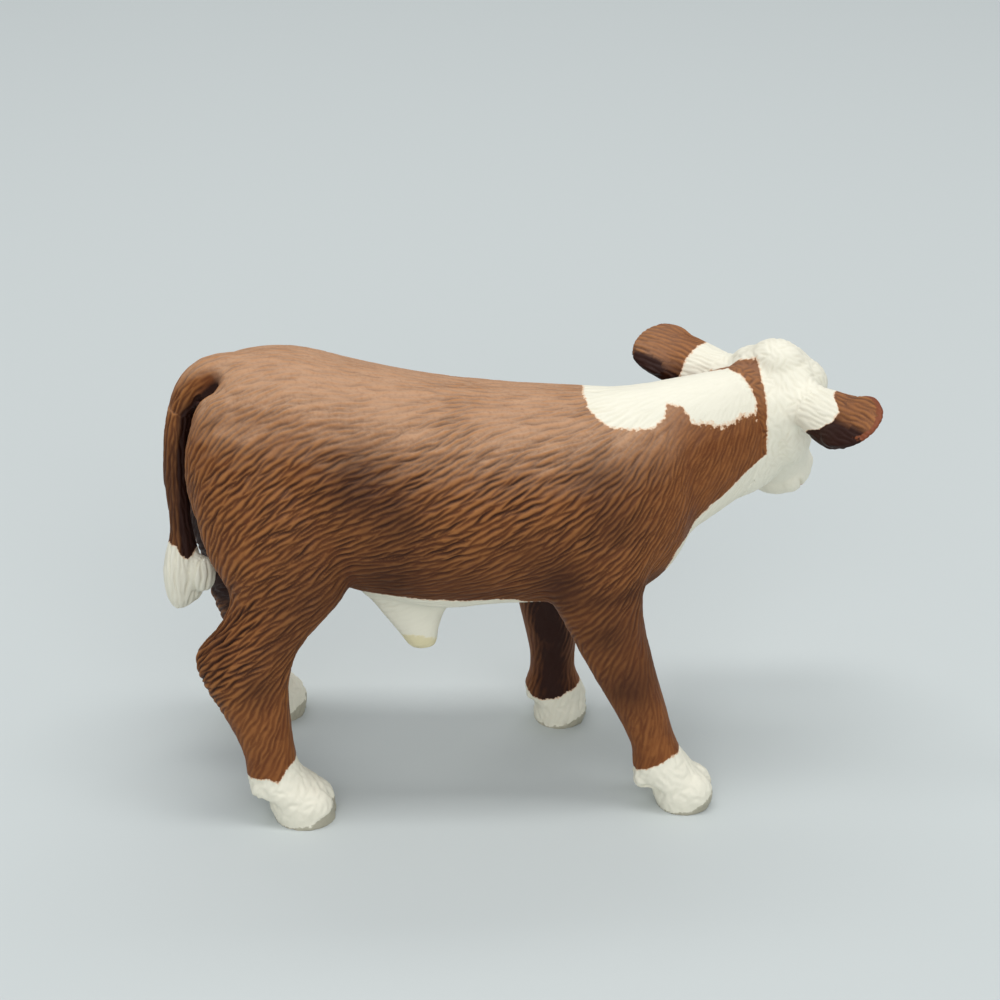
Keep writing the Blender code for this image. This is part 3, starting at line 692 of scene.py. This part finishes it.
# The body
# Torso and neck in one moulding, with belly and sheath. White crest patch in two lobes along
# the top of the neck, white belly, throat and brisket, all brushed in by hand.
# Outline of the crest patch in mm: along the spine, and out from it on either side
CREST = [(0.4, -2), (0.5, 0), (0.8, 2.8), (1.7, 4.1), (2.9, 5.0), (5.4, 5.1), (6.7, 4.7), (8.1, 3.9),
         (8.6, 2.9), (10.0, 3.3), (11.0, 4.3), (13.1, 4.7), (14.6, 4.6), (16.0, 4.2), (17.0, 4.3),
         (17.5, 3.7),
         (17.4, 2.7), (17.3, 1.3), (16.9, 0), (16.8, -2)]
CREST_LEFT = [(6, 6), (9, 3.4), (13, 1.7), (17, 0.7)]
CREST_BOTTOM = 40
FACE_EDGE = (20.1, 0.4)
# Where the white of throat and brisket begins: height, and how far forward, in mm
BRISKET = [(19, 21), (21.5, 17.5), (24, 16), (26.7, 16.3), (29.5, 17.3), (30.8, 18.6), (32.1, 19.2),
           (33.9, 20.8), (34.7, 22.0), (35.6, 23.0), (37.1, 24.6), (38.5, 27.0), (41, 36)]
# How wide the white of the belly is on either side: how far forward, and half width, in mm
BELLY = [(-20, -2), (-17.5, 1.5), (-15, 5.5), (-12, 8.2), (-2, 8.2), (1, 6.0), (4, 3.4), (10, 3.2),
         (15, 4.2)]
BELLY_TOP = [(-18, 24.4), (-12, 25.5), (-4, 25.2), (0, 25.0), (6, 24.6), (15, 27)]
THROAT_HALF = [(26, 4.5), (31, 12)]
SHEATH_TIP = Vector((-10.4, -2.2, 15.4))
SHEATH_RADIUS = 2.6
# The slit on either side of the tail root: how far aside, half width and where it starts, in mm
CREASE_SIDE = 2.3
CREASE_HALF = 0.34
CREASE_DEPTH = 0.8 * MM
CREASE_ROUNDS = 50
# Where the back of the right thigh is slimmer than its moulding, and by how much
THIGH_BACK = Vector((-31.5, -8.5, 24.8))
THIGH_SHAVING = 0.9 * MM
THIGH_SPREAD = 4
TAIL_Y = -2.23
TAIL_MIDDLE = (-35.2, -2.2)
# The middle of the tail from the side: height, and how far forward, in mm
TAIL_AXIS = [(24, -35.3), (30, -35.4), (38, -35.1), (44, -34.3), (46.5, -32.9)]

# Where dark paint and painted shade lie round the tail and between the thighs: how strong, and where they
# start and are full, in mm
RUMP = {"back": (-29.4, -30.9), "height": (34, 37)}
FOLD = {"dark_wash_and_shade": 1.6, "near": (4.4, 3.4), "hollow": (0.08, 0.30)}
ROOT = {"dark_wash_and_shade": 1.5, "near": (2.2, 1.8), "back": (-31, -32), "bottom": (40, 41), "head": (46.4, 44.2)}
INNER = (-0.4, 0.7)
BEHIND = {"dark_wash_and_shade": 1.7, "near": (4.6, 2.8), "ahead": (-34.5, -33.8), "bottom": (20, 23), "head": (44, 42)}
BETWEEN = {"dark_wash_and_shade": 1.4, "near": (8.5, 7.5), "back": (-27, -30), "bottom": (15, 18), "head": (35, 32)}
THIGHS_FACING = (-1.3, 0.8)
# The shade above the belly's white: strength, height, how wide it is, and where it starts and is full
UNDER_EDGE = (0.55, 26.3, 1.8, (-20, -16))
# Paler paint and painted sheen on the back where it faces up: strength, how level the skin is, how high, and
# how it fades forward
TOP_SHEEN_AND_WEAR = 0.9
TOP_LEVEL = (0.22, 0.72)
TOP_HEIGHT = (34, 42)
TOP_FADE = [(12, 1), (20, 0.25)]
# Of each coat: field, colour, colour in the grooves and at the edge, raggedness and roughness
WHITE_COAT = ("cream", CREAM, CREAM_SHADE, CREAM_RIM, 0.6, 0.6)
SHEATH_COAT = ("sheath", "#e6dcb4", "#c2b488", "#efe7cc", 0.6, 0.5)

tail_gap = np.abs(y_mm - TAIL_Y)
rear = ramp(x_mm, *RUMP["back"]) * ramp(z_mm, *RUMP["height"])
crease = rear * np.exp(-((tail_gap - CREASE_SIDE) / CREASE_HALF) ** 2)
thigh_gap = (x_mm - THIGH_BACK.x) ** 2 + (y_mm - THIGH_BACK.y) ** 2 + (z_mm - THIGH_BACK.z) ** 2
thinned = np.exp(-thigh_gap / THIGH_SPREAD ** 2)
broad = unit(relaxed(normals, edges, TOP_ROUNDS))
points -= broad * (CREASE_DEPTH * crease * (owners == 0) + THIGH_SHAVING * thinned)[:, None]
normals = reshape_skin(points)
# Painted shade in the hollow of the crease beside the tail
fold = FOLD["dark_wash_and_shade"] * rear * ramp(tail_gap, *FOLD["near"]) * ramp(-relief(CREASE_ROUNDS), *FOLD["hollow"])
inner_side = ramp(x_mm - profile(z_mm, TAIL_AXIS), *INNER)
# Painted shade on the rump where it faces the tail root
root_side = ROOT["dark_wash_and_shade"] * inner_side * ramp(z_mm, *ROOT["head"]) * ramp(tail_gap, *ROOT["near"])
root_side *= ramp(x_mm, *ROOT["back"]) * ramp(z_mm, *ROOT["bottom"])
out = np.abs(s_aside)
crest_left = profile(s_along, CREST_LEFT) - s_aside
crest = np.minimum.reduce((inside(s_along, out, CREST), crest_left, z_mm - CREST_BOTTOM))
face = s_along - FACE_EDGE[0] + FACE_EDGE[1] * out
throat = np.minimum(x_mm - profile(z_mm, BRISKET), profile(z_mm, THROAT_HALF) - out)
belly = np.minimum(profile(x_mm, BELLY) - out, profile(x_mm, BELLY_TOP) - z_mm)
cream = np.maximum.reduce((crest, face, throat, belly))
# Dark paint and painted shadow in the recess behind the tail, between the thighs
beside_tail = np.hypot(x_mm - TAIL_MIDDLE[0], y_mm - TAIL_MIDDLE[1])
behind_tail = BEHIND["dark_wash_and_shade"] * ramp(beside_tail, *BEHIND["near"]) * ramp(x_mm, *BEHIND["ahead"])
behind_tail *= ramp(z_mm, *BEHIND["bottom"]) * ramp(z_mm, *BEHIND["head"])
# Painted shade where the thighs face each other
facing_tail = np.clip(np.where(y_mm > TAIL_Y, *THIGHS_FACING) * broad[:, 1], 0, 1)
between = BETWEEN["dark_wash_and_shade"] * facing_tail * ramp(x_mm, *BETWEEN["back"]) * ramp(z_mm, *BETWEEN["head"])
between *= ramp(z_mm, *BETWEEN["bottom"]) * ramp(tail_gap, *BETWEEN["near"])
edge_shade, edge_height, edge_half, edge_run = UNDER_EDGE
under_edge = edge_shade * np.exp(-((z_mm - edge_height) / edge_half) ** 2) * ramp(x_mm, *edge_run)
# All the dark paint and painted shade of the body
dark_wash_and_shade = np.maximum.reduce((dark_wash_and_shade, behind_tail, under_edge, fold, root_side, between))
tip_gap = np.hypot(np.hypot(x_mm - SHEATH_TIP.x, y_mm - SHEATH_TIP.y), z_mm - SHEATH_TIP.z)
ridge = np.clip(relief(RELIEF_ROUNDS) / RIDGE_HEIGHT, 0, 1)
# Paler paint and painted sheen where the back faces up
top = TOP_SHEEN_AND_WEAR * ramp(broad[:, 2], *TOP_LEVEL) * ramp(z_mm, *TOP_HEIGHT) * profile(x_mm, TOP_FADE)
fields = {"groove": grooves / DEEPEST, "ridge": ridge, "lock": locks, "dark_wash_and_shade": dark_wash_and_shade, "top": top,
          "cream": cream, "sheath": SHEATH_RADIUS - tip_gap}
coat_paint = painted("matt_brown_acrylic_on_pvc", [WHITE_COAT, SHEATH_COAT])
moulding("body", coat_paint, fields)


# The legs
# Four solid legs plugged into the body. Brown to the fetlock, white socks slopped on down to
# the hooves, and grey-beige claws that rest flat. The cleft runs between the two toes.
# Sock edges: ahead of the middle of the sole, and height, in mm
SOCKS = {
    "hind_right": [(-5.8, 5.7), (-3.8, 6.2), (-2.5, 5.8), (-1.5, 7.1), (0.5, 7.9)],
    "hind_left": [(-5.8, 5.2), (-3.8, 5.9), (-2.5, 5.6), (-1.5, 6.6), (0.5, 7.2)],
    "fore_right": [(-5.6, 4.7), (-4.7, 5.2), (-3.5, 6.0), (-1.8, 6.7), (0.5, 7.0)],
    "fore_left": [(-3.9, 4.6), (-3.2, 3.8), (-0.7, 4.1), (0.9, 4.9), (2.3, 5.2)],
}
HOOF_EDGE = [(-3, 0.1), (-1, 0.2), (0.7, 0.5), (1.6, 1.1), (3.2, 2.0)]
HOOF_GREY = "#b3ae9b"
HOOF_DIRT = "#8b8672"
HOOF_RIM = "#cdc8b4"
CLEFT_HALF = 0.30
CLEFT_DEEP = 0.42 * MM
CLEFT_AHEAD = (-0.5, 0.5)
CLEFT_TOP = (3.4, 2.4)
SOCK_PITS = 0.13 * MM
PIT_SIZES = (1.7 * MM, 0.9 * MM, 0.75 * MM, 0.26 * MM)
PIT_WAY = (0.3, 0.2, 1.0)
PIT_JITTER = 1.0
PIT_LOWEST = 0.4
HEEL_NOTCH = 0.8 * MM
HEEL_PLACE = (-3.9, 2.3)
HEEL_SIZE = (1.3, 0.8)
HOOF_COAT = ("hoof", HOOF_GREY, HOOF_DIRT, HOOF_RIM, 0.7, 0.42)
# Painted shade on the inner side of each leg
INNER_SHADE = 1.15

sock = np.full(len(points), -1.0)
hoof = np.full(len(points), -1.0)
for side in HANDS:
    for pair in ("hind", "fore"):
        leg = members_of(f"leg_{pair}_{side}")
        sole = soles[f"sole_{pair}_{side}"] / MM
        ahead = x_mm[leg] - sole.x
        aside = y_mm[leg] - sole.y
        sock[leg] = profile(ahead, SOCKS[f"{pair}_{side}"]) - z_mm[leg]
        hoof[leg] = profile(ahead, HOOF_EDGE) - z_mm[leg]
        # Painted shade on the side of each leg that faces the others
        facing_in = np.clip(-normals[leg, 1] * HANDS[side], 0, 1) ** 2
        dark_wash_and_shade[leg] = np.maximum(dark_wash_and_shade[leg], INNER_SHADE * facing_in)
        front = ramp(ahead, *CLEFT_AHEAD) * ramp(z_mm[leg], *CLEFT_TOP)
        cleft = CLEFT_DEEP * front * np.exp(-(aside / CLEFT_HALF) ** 2)
        heel = ((ahead - HEEL_PLACE[0]) / HEEL_SIZE[0]) ** 2
        heel += ((z_mm[leg] - HEEL_PLACE[1]) / HEEL_SIZE[1]) ** 2
        cleft += HEEL_NOTCH * np.exp(-heel)
        white = np.flatnonzero(sock[leg] > 0)
        pit_ways = flattened(np.tile(PIT_WAY, (len(white), 1)), normals[leg[white]])
        pit_depth = np.where(z_mm[leg[white]] > PIT_LOWEST, SOCK_PITS, 0)
        pits, _ = comb(leg[white], pit_ways, pit_depth, PIT_SIZES, PIT_JITTER, COMB_SEED + 2)
        cleft[white] += pits
        points[leg] -= normals[leg] * cleft[:, None]
normals = reshape_skin(points)
leg_fields = {**fields, "dark_wash_and_shade": dark_wash_and_shade, "cream": sock, "hoof": hoof}
leg_paint = painted("matt_brown_and_cream_acrylic_on_pvc_legs", [WHITE_COAT, HOOF_COAT])
for name in piece_numbers:
    if name.startswith("leg_"):
        moulding(name, leg_paint, leg_fields)


# The tail
# One moulding on a pin in the rump: a brown switch with hair strands and a white tuft in two
# lobes. It is painted darker halfway down, and painted shade lies on the side that faces the thighs.
TAIL_STRANDS = (6.0 * MM, 2.6 * MM, 0.52 * MM, 0.14 * MM)
TAIL_DEPTH = 0.16 * MM
TUFT_DEPTH = 0.24 * MM
TUFT_SHADE = 0.55
TUFT_EDGE = [(-37.5, 28.6), (-35.7, 28.3), (-35.0, 27.2), (-34.3, 27.0), (-33.2, 28.0)]
TAIL_WAY = (-0.1, 0.0, -1.0)
STRAND_SWAY = 0.18
STRAND_SWAY_SIZE = 2 * MM
STRAND_SWAY_WAY = (0.6, 1, 0)
# The darkening of the switch: least and added strength, the height where it is strongest, its run, its upper
# end
TAIL_DARKENING = (0.35, 0.3, 34, 5.5, (44, 40))
# Painted shade on the side of the switch that faces the rump and thighs
TAIL_INNER_SHADE = 1.5

tail = members_of("tail")
down = flattened(np.tile(TAIL_WAY, (len(tail), 1)), normals[tail])
sway = STRAND_SWAY * drift(points[tail], STRAND_SWAY_SIZE, 1.3)
down = flattened(down + sway[:, None] * np.array(STRAND_SWAY_WAY), normals[tail])
tuft = profile(x_mm[tail], TUFT_EDGE) - z_mm[tail]
strand_depth = np.where(tuft > 0, TUFT_DEPTH, TAIL_DEPTH)
strands, locks[tail] = comb(tail, down, strand_depth, TAIL_STRANDS, COAT_JITTER, COMB_SEED + 3)
strands *= seam_hold[tail]
grooves[tail] = strands * np.where(tuft > 0, TUFT_SHADE, 1.0)
points[tail] -= normals[tail] * strands[:, None]
normals = reshape_skin(points)
tail_cream = np.full(len(points), -1.0)
tail_cream[tail] = tuft
least, added, height, run, upper_end = TAIL_DARKENING
tail_darkening = (least + added * np.exp(-((z_mm - height) / run) ** 2)) * ramp(z_mm, *upper_end)
# Painted shade where the switch faces the rump and thighs
tail_darkening = np.maximum(tail_darkening, TAIL_INNER_SHADE * inner_side)
ridge = np.clip(relief(RELIEF_ROUNDS) / RIDGE_HEIGHT, 0, 1)
tail_paint = painted("matt_brown_and_cream_acrylic_on_pvc_tail", [WHITE_COAT])
moulding("tail", tail_paint, {"groove": grooves / DEEPEST, "ridge": ridge, "lock": locks,
                                      "dark_wash_and_shade": tail_darkening, "top": top, "cream": tail_cream})


# The head
# One moulding glued behind the jaw, white but for the brown of the nape. Short curly hair is
# carved on poll and cheeks; the eyes are dark gloss, the muzzle is bare pink with a wet sheen.
EYE = Vector((2.3, 4.5, 1.4))
EYE_OPENING = 1.05
EYE_LENGTH = 1.25
LID_WIDTH = 0.28
LID_REACH = 1.8
NOSTRIL = Vector((15.2, 2.1, -0.5))
NOSTRIL_SIZE = Vector((1.1, 0.62, 0.85))
NOSTRIL_SLANT = 0.5
NOSTRIL_EDGE = 0.6
NOSTRIL_DEPTH = 0.75 * MM
MOUTH_LEVEL = -3.5
MOUTH_BACK = 11.5
MOUTH_SLOPE = 0.05
MOUTH_HALF = 0.22
MOUTH_DEPTH = 0.22 * MM
LID_GROOVE = (0.16 * MM, 1.2, 0.16)
BROW_DENT = Vector((2.4, 4.4, 3.9))
BROW_DENT_DEPTH = 0.7 * MM
# Painted shade on the cheek below the eye
CHEEK_SHADE = Vector((1.0, 4.6, -1.5))
MUZZLE_START = 12.9
MUZZLE_HALF = 3.4
MUZZLE_TOP = 1.6
MUZZLE_BOTTOM = -3.4
MUZZLE_FACING = 0.2
MUZZLE_TURN = 1.5
FACE_DEPTH = 0.11 * MM
FACE_LOCKS = (1.7 * MM, 0.95 * MM, 0.5 * MM, 0.14 * MM)
FACE_JITTER = math.radians(38)
EYE_BLACK = "#150d0a"
LID_PINK = "#a97863"
MUZZLE_PINK = "#cfa08c"
NOSTRIL_DARK = "#4a2a22"

head = members_of("head")
to_head = np.array(head_frame.inverted())
in_head = (points @ to_head[:3, :3].T + to_head[:3, 3]) / MM
h_x, h_y, h_z = in_head.T
h_out = np.abs(h_y)
eye_face = np.sqrt(((h_x - EYE.x) / EYE_LENGTH) ** 2 + (h_z - EYE.z) ** 2)
eyeball = np.where(h_out > EYE.y, EYE_OPENING - eye_face, -1)
lid = np.where(h_out > EYE.y - LID_REACH, EYE_OPENING + LID_WIDTH - eye_face, -1)
nostril_x = (h_x - NOSTRIL.x) / NOSTRIL_SIZE.x
nostril_y = (h_out - NOSTRIL.y) / NOSTRIL_SIZE.y
nostril_z = (h_z - NOSTRIL.z - NOSTRIL_SLANT * (h_out - NOSTRIL.y)) / NOSTRIL_SIZE.z
nostril_gap = np.sqrt(nostril_x ** 2 + nostril_y ** 2 + nostril_z ** 2)
nostril = (1 - nostril_gap) * NOSTRIL_EDGE
facing_ahead = normals @ np.array(head_frame.to_3x3())[:, 0]
muzzle_front = MUZZLE_TURN * (facing_ahead - MUZZLE_FACING)
muzzle = np.minimum.reduce((h_x - MUZZLE_START, muzzle_front, MUZZLE_HALF - h_out, MUZZLE_TOP - h_z,
                            h_z - MUZZLE_BOTTOM))
mouth_line = MOUTH_LEVEL - MOUTH_SLOPE * (NOSE_TIP.x / MM - h_x)
mouth = np.exp(-((h_z - mouth_line) / MOUTH_HALF) ** 2) * ramp(h_x, MOUTH_BACK, MOUTH_BACK + 1)
nod = np.array(head_frame.to_3x3())
forward = flattened(np.tile(nod[:, 0] * 0.9 - nod[:, 2] * 0.2, (len(head), 1)), normals[head])
bare = (eyeball[head] > -0.5) | (muzzle[head] > -0.2)
poll_depth = FACE_DEPTH * np.clip(1.1 - (h_x[head] + 4) / 14, 0.4, 1)
curl_depth = np.where(bare, 0, poll_depth)
curls, locks[head] = comb(head, forward, curl_depth, FACE_LOCKS, FACE_JITTER, COMB_SEED + 4)
groove_depth, groove_place, groove_half = LID_GROOVE
lid_groove = np.exp(-((eye_face[head] - groove_place) / groove_half) ** 2) * (h_out[head] > EYE.y - 0.8)
brow = (h_x - BROW_DENT.x) ** 2 + (h_out - BROW_DENT.y) ** 2 + (h_z - BROW_DENT.z) ** 2
carve = curls + groove_depth * lid_groove
carve += NOSTRIL_DEPTH * np.clip(1.2 - nostril_gap[head], 0, 1)
carve += MOUTH_DEPTH * mouth[head]
carve += BROW_DENT_DEPTH * np.exp(-brow[head] / 3.2)
grooves[head] = curls
points[head] -= normals[head] * (carve * seam_hold[head])[:, None]
normals = reshape_skin(points)
ridge = np.clip(relief(RELIEF_ROUNDS) / RIDGE_HEIGHT, 0, 1)
# Painted shade on the cheek below the eye
cheek = (h_x - CHEEK_SHADE.x) ** 2 + (h_out - CHEEK_SHADE.y) ** 2 + (h_z - CHEEK_SHADE.z) ** 2
face_shade = 0.3 * np.exp(-cheek / 5)
face_paint = painted("matt_cream_acrylic_on_pvc", [
    WHITE_COAT,
    ("muzzle", MUZZLE_PINK, "#a3705f", "#dcbfae", 0.9, 0.32),
    ("lid", LID_PINK, LID_PINK, "#c9a996", 0.2, 0.45),
    ("nostril", NOSTRIL_DARK, NOSTRIL_DARK, "#7b4a3d", 0.2, 0.35),
    ("eyeball", EYE_BLACK, EYE_BLACK, "#2a1a13", 0.0, 0.08),
])
face_groove = grooves / DEEPEST + np.where(owners == piece_numbers["head"], mouth, 0)
face_fields = {**fields, "groove": face_groove, "ridge": ridge, "lock": locks, "dark_wash_and_shade": face_shade,
               "muzzle": muzzle, "lid": lid, "nostril": nostril, "eyeball": eyeball}
del face_fields["sheath"]
moulding("head", face_paint, face_fields)


# The ears
# Two leaves on pins beside the poll: brown backs scored along their length, white where they
# leave the head, and a hollow pink front with a hairy rim.
EAR_STROKES = (4.5 * MM, 2.0 * MM, 0.48 * MM, 0.13 * MM)
EAR_DEPTH = 0.13 * MM
# The rounded end, along and across the ear in mm: middle, half length and half width
EAR_END = (11.2, 5.2, 3.6)
HOLLOW_DEPTH = 0.7 * MM
HOLLOW_HALF = 2.72
HOLLOW_BASE = (6, 8)
HOLLOW_TIP = (14.2, 12.2)
HOLLOW_FACING = (-0.1, -0.6)
EAR_PINK = "#c79a86"
PINK_HALF = 2.3
PINK_RUN = (5.8, 13.2)
# How much of what stands out past the rounded end is taken off
END_TRIM = 0.8
# Painted shade on the lower part of each ear: its strength, and where it begins on either side
EAR_UNDER_SHADE = 1.7
DARK_BELOW = {"right": 0.0, "left": -1.4}
# Where the white of the root ends: across the ear, and how far out, in mm
ROOT_EDGES = {
    "right": [(-3.6, 4.2), (-3.0, 7.0), (-2.4, 9.8), (-1.3, 11.2), (0, 11.2), (0.8, 9.8), (1.5, 8.4),
              (3.5, 6.0)],
    "left": [(-3.6, 8.4), (-0.5, 8.7), (1.1, 8.8), (2.4, 8.8), (3.6, 8.5)],
}
ear_cream = np.full(len(points), -1.0)
hollow = np.full(len(points), -1.0)
ear_shade = np.zeros(len(points))
tip = np.full(len(points), -1.0)
for side in HANDS:
    ear_number = piece_numbers["ear_" + side]
    ear = np.flatnonzero((owners == ear_number) | (other_owner == ear_number))
    axes = ear_frame(side)
    to_ear = np.array(axes.inverted())
    e_x, e_y, e_z = ((points[ear] @ to_ear[:3, :3].T + to_ear[:3, 3]) / MM).T
    facing = normals[ear] @ np.array(axes.to_3x3())[:, 2]
    ways = flattened(np.tile(np.array(axes.to_3x3())[:, 0], (len(ear), 1)), normals[ear])
    stroke_depth = np.where(facing > -0.3, EAR_DEPTH, EAR_DEPTH / 2)
    strokes, locks[ear] = comb(ear, ways, stroke_depth, EAR_STROKES, COAT_JITTER, COMB_SEED + 5)
    grooves[ear] = strokes
    dish = np.clip(1 - (e_y / HOLLOW_HALF) ** 2, 0, 1) * ramp(e_x, *HOLLOW_BASE) * ramp(e_x, *HOLLOW_TIP)
    dish *= ramp(facing, *HOLLOW_FACING)
    points[ear] -= normals[ear] * ((strokes + HOLLOW_DEPTH * dish) * seam_hold[ear])[:, None]
    ear_cream[ear] = profile(e_y, ROOT_EDGES[side]) - e_x
    pink = np.minimum.reduce((PINK_HALF - np.abs(e_y), PINK_RUN[1] - e_x, e_x - PINK_RUN[0]))
    hollow[ear] = np.where(facing < -0.1, pink, -1)
    reach = np.hypot((e_x - EAR_END[0]) / EAR_END[1], e_y / EAR_END[2])
    over = np.where((e_x > EAR_END[0]) & (reach > 1), END_TRIM * (1 - 1 / np.maximum(reach, 1)), 0) * MM
    trimmed = np.stack(((e_x - EAR_END[0]) * over, e_y * over), 1)
    points[ear] -= trimmed @ np.array(axes.to_3x3())[:, :2].T
    # Painted shade over the lower part of each ear
    upper = e_y * np.sign(axes.to_3x3()[2][1])
    border = DARK_BELOW[side] + 0.5 * locks[ear] + 0.4 * drift(points[ear], 1.2 * MM, 2.1)
    ear_shade[ear] = EAR_UNDER_SHADE * np.clip((border - upper) / 2.2, 0, 1)
    tip[ear] = np.where(e_x > EAR_END[0], np.minimum(3 * (reach - 0.90), 0.4 * (upper + 1.6)), -1)
normals = reshape_skin(points)
ridge = np.clip(relief(RELIEF_ROUNDS) / RIDGE_HEIGHT, 0, 1)
ear_paint = painted("matt_brown_and_cream_acrylic_on_pvc_ears",
                    [("tip", "#84472a", "#4a1a0c", "#7a4222", 0.5, 0.5), WHITE_COAT,
                     ("hollow", EAR_PINK, "#94604f", "#d9bca8", 0.8, 0.5)])
for side in HANDS:
    moulding("ear_" + side, ear_paint, {
        "groove": grooves / DEEPEST, "ridge": ridge, "lock": locks, "dark_wash_and_shade": ear_shade, "top": top * 0.5,
        "cream": ear_cream, "hollow": hollow, "tip": tip})
bpy.data.objects.remove(skin, do_unlink=True)


# The floor and the light
# A pale blue-grey sheet in a pale room, under two long soft lamps, one straight overhead and a
# weaker one behind, so the shadow lies under the calf. A broad soft one fills from the front.
FLOOR_HALF = 1.5
FLOOR_GREY = "#c9cfce"
FLOOR_AFAR = "#f0f6f6"
FLOOR_FADE = (0.36, 0.80)
FLOOR_VANISH = (0.40, 0.80)
ROOM_WHITE = "#f2f6fb"
ROOM_STRENGTH = 0.46
BACKGROUND = "#cdd4d4"
# Place, length, width and watts of each lamp
LAMPS = {
    "overhead": (Vector((0.0, -0.03, 0.75)), 0.70, 0.14, 2.5),
    "behind": (Vector((0.0, 0.40, 0.72)), 0.70, 0.14, 1.0),
    "front": (Vector((0.05, -0.75, 0.50)), 0.90, 0.50, 3.1),
}

floor_mesh = bpy.data.meshes.new("floor")
square = [(x * FLOOR_HALF, y * FLOOR_HALF, 0) for x, y in ((-1, -1), (1, -1), (1, 1), (-1, 1))]
floor_mesh.from_pydata(square, [], [(0, 1, 2, 3)])
floor = bpy.data.objects.new("floor", floor_mesh)
bpy.context.scene.collection.objects.link(floor)
sheet = bpy.data.materials.new("matt_paper_sheet")
sheet.use_nodes = True
sheet_tree = sheet.node_tree
paper = sheet_tree.nodes["Principled BSDF"]
ground = add(sheet_tree, "ShaderNodeTexCoord").node.outputs["Object"]
distance = add(sheet_tree, "ShaderNodeVectorMath", {0: ground}, operation="LENGTH").node.outputs["Value"]
away = add(sheet_tree, "ShaderNodeMapRange", {0: distance, 1: FLOOR_FADE[0], 2: FLOOR_FADE[1]})
tint = mixed(sheet_tree, away, linear(FLOOR_GREY), linear(FLOOR_AFAR))
sheet_tree.links.new(tint, paper.inputs["Base Color"])
paper.inputs["Roughness"].default_value = 0.8
paper.inputs["Specular IOR Level"].default_value = 0.1
far_off = add(sheet_tree, "ShaderNodeMapRange", {0: distance, 1: FLOOR_VANISH[0], 2: FLOOR_VANISH[1]})
looking = add(sheet_tree, "ShaderNodeLightPath").node.outputs["Is Camera Ray"]
haze = maths(sheet_tree, "MULTIPLY", far_off, looking)
glow = add(sheet_tree, "ShaderNodeEmission", {"Color": linear(BACKGROUND), "Strength": 1})
hazy_sheet = add(sheet_tree, "ShaderNodeMixShader", {0: haze, 1: paper.outputs[0], 2: glow})
sheet_tree.links.new(hazy_sheet, sheet_tree.nodes["Material Output"].inputs["Surface"])
floor_mesh.materials.append(sheet)

room = bpy.data.worlds.new("room")
room.use_nodes = True
air = room.node_tree
walls = air.nodes["Background"]
walls.inputs["Color"].default_value = linear(ROOM_WHITE)
walls.inputs["Strength"].default_value = ROOM_STRENGTH
rays = air.nodes.new("ShaderNodeLightPath")
seen = rays.outputs["Is Camera Ray"]
pale = add(air, "ShaderNodeBackground", {"Color": linear(BACKGROUND), "Strength": 1})
both = add(air, "ShaderNodeMixShader", {0: seen, 1: walls.outputs[0], 2: pale})
air.links.new(both, air.nodes["World Output"].inputs["Surface"])
bpy.context.scene.world = room
for name, (place, length, width, watts) in LAMPS.items():
    lamp_data = bpy.data.lights.new(name, "AREA")
    lamp_data.shape = "RECTANGLE"
    lamp_data.size = length
    lamp_data.size_y = width
    lamp_data.energy = watts
    lamp = bpy.data.objects.new(name, lamp_data)
    bpy.context.scene.collection.objects.link(lamp)
    lamp.location = place
    lamp.rotation_euler = (-place).to_track_quat("-Z", "Y").to_euler()
bpy.context.scene.view_settings.view_transform = "Standard"
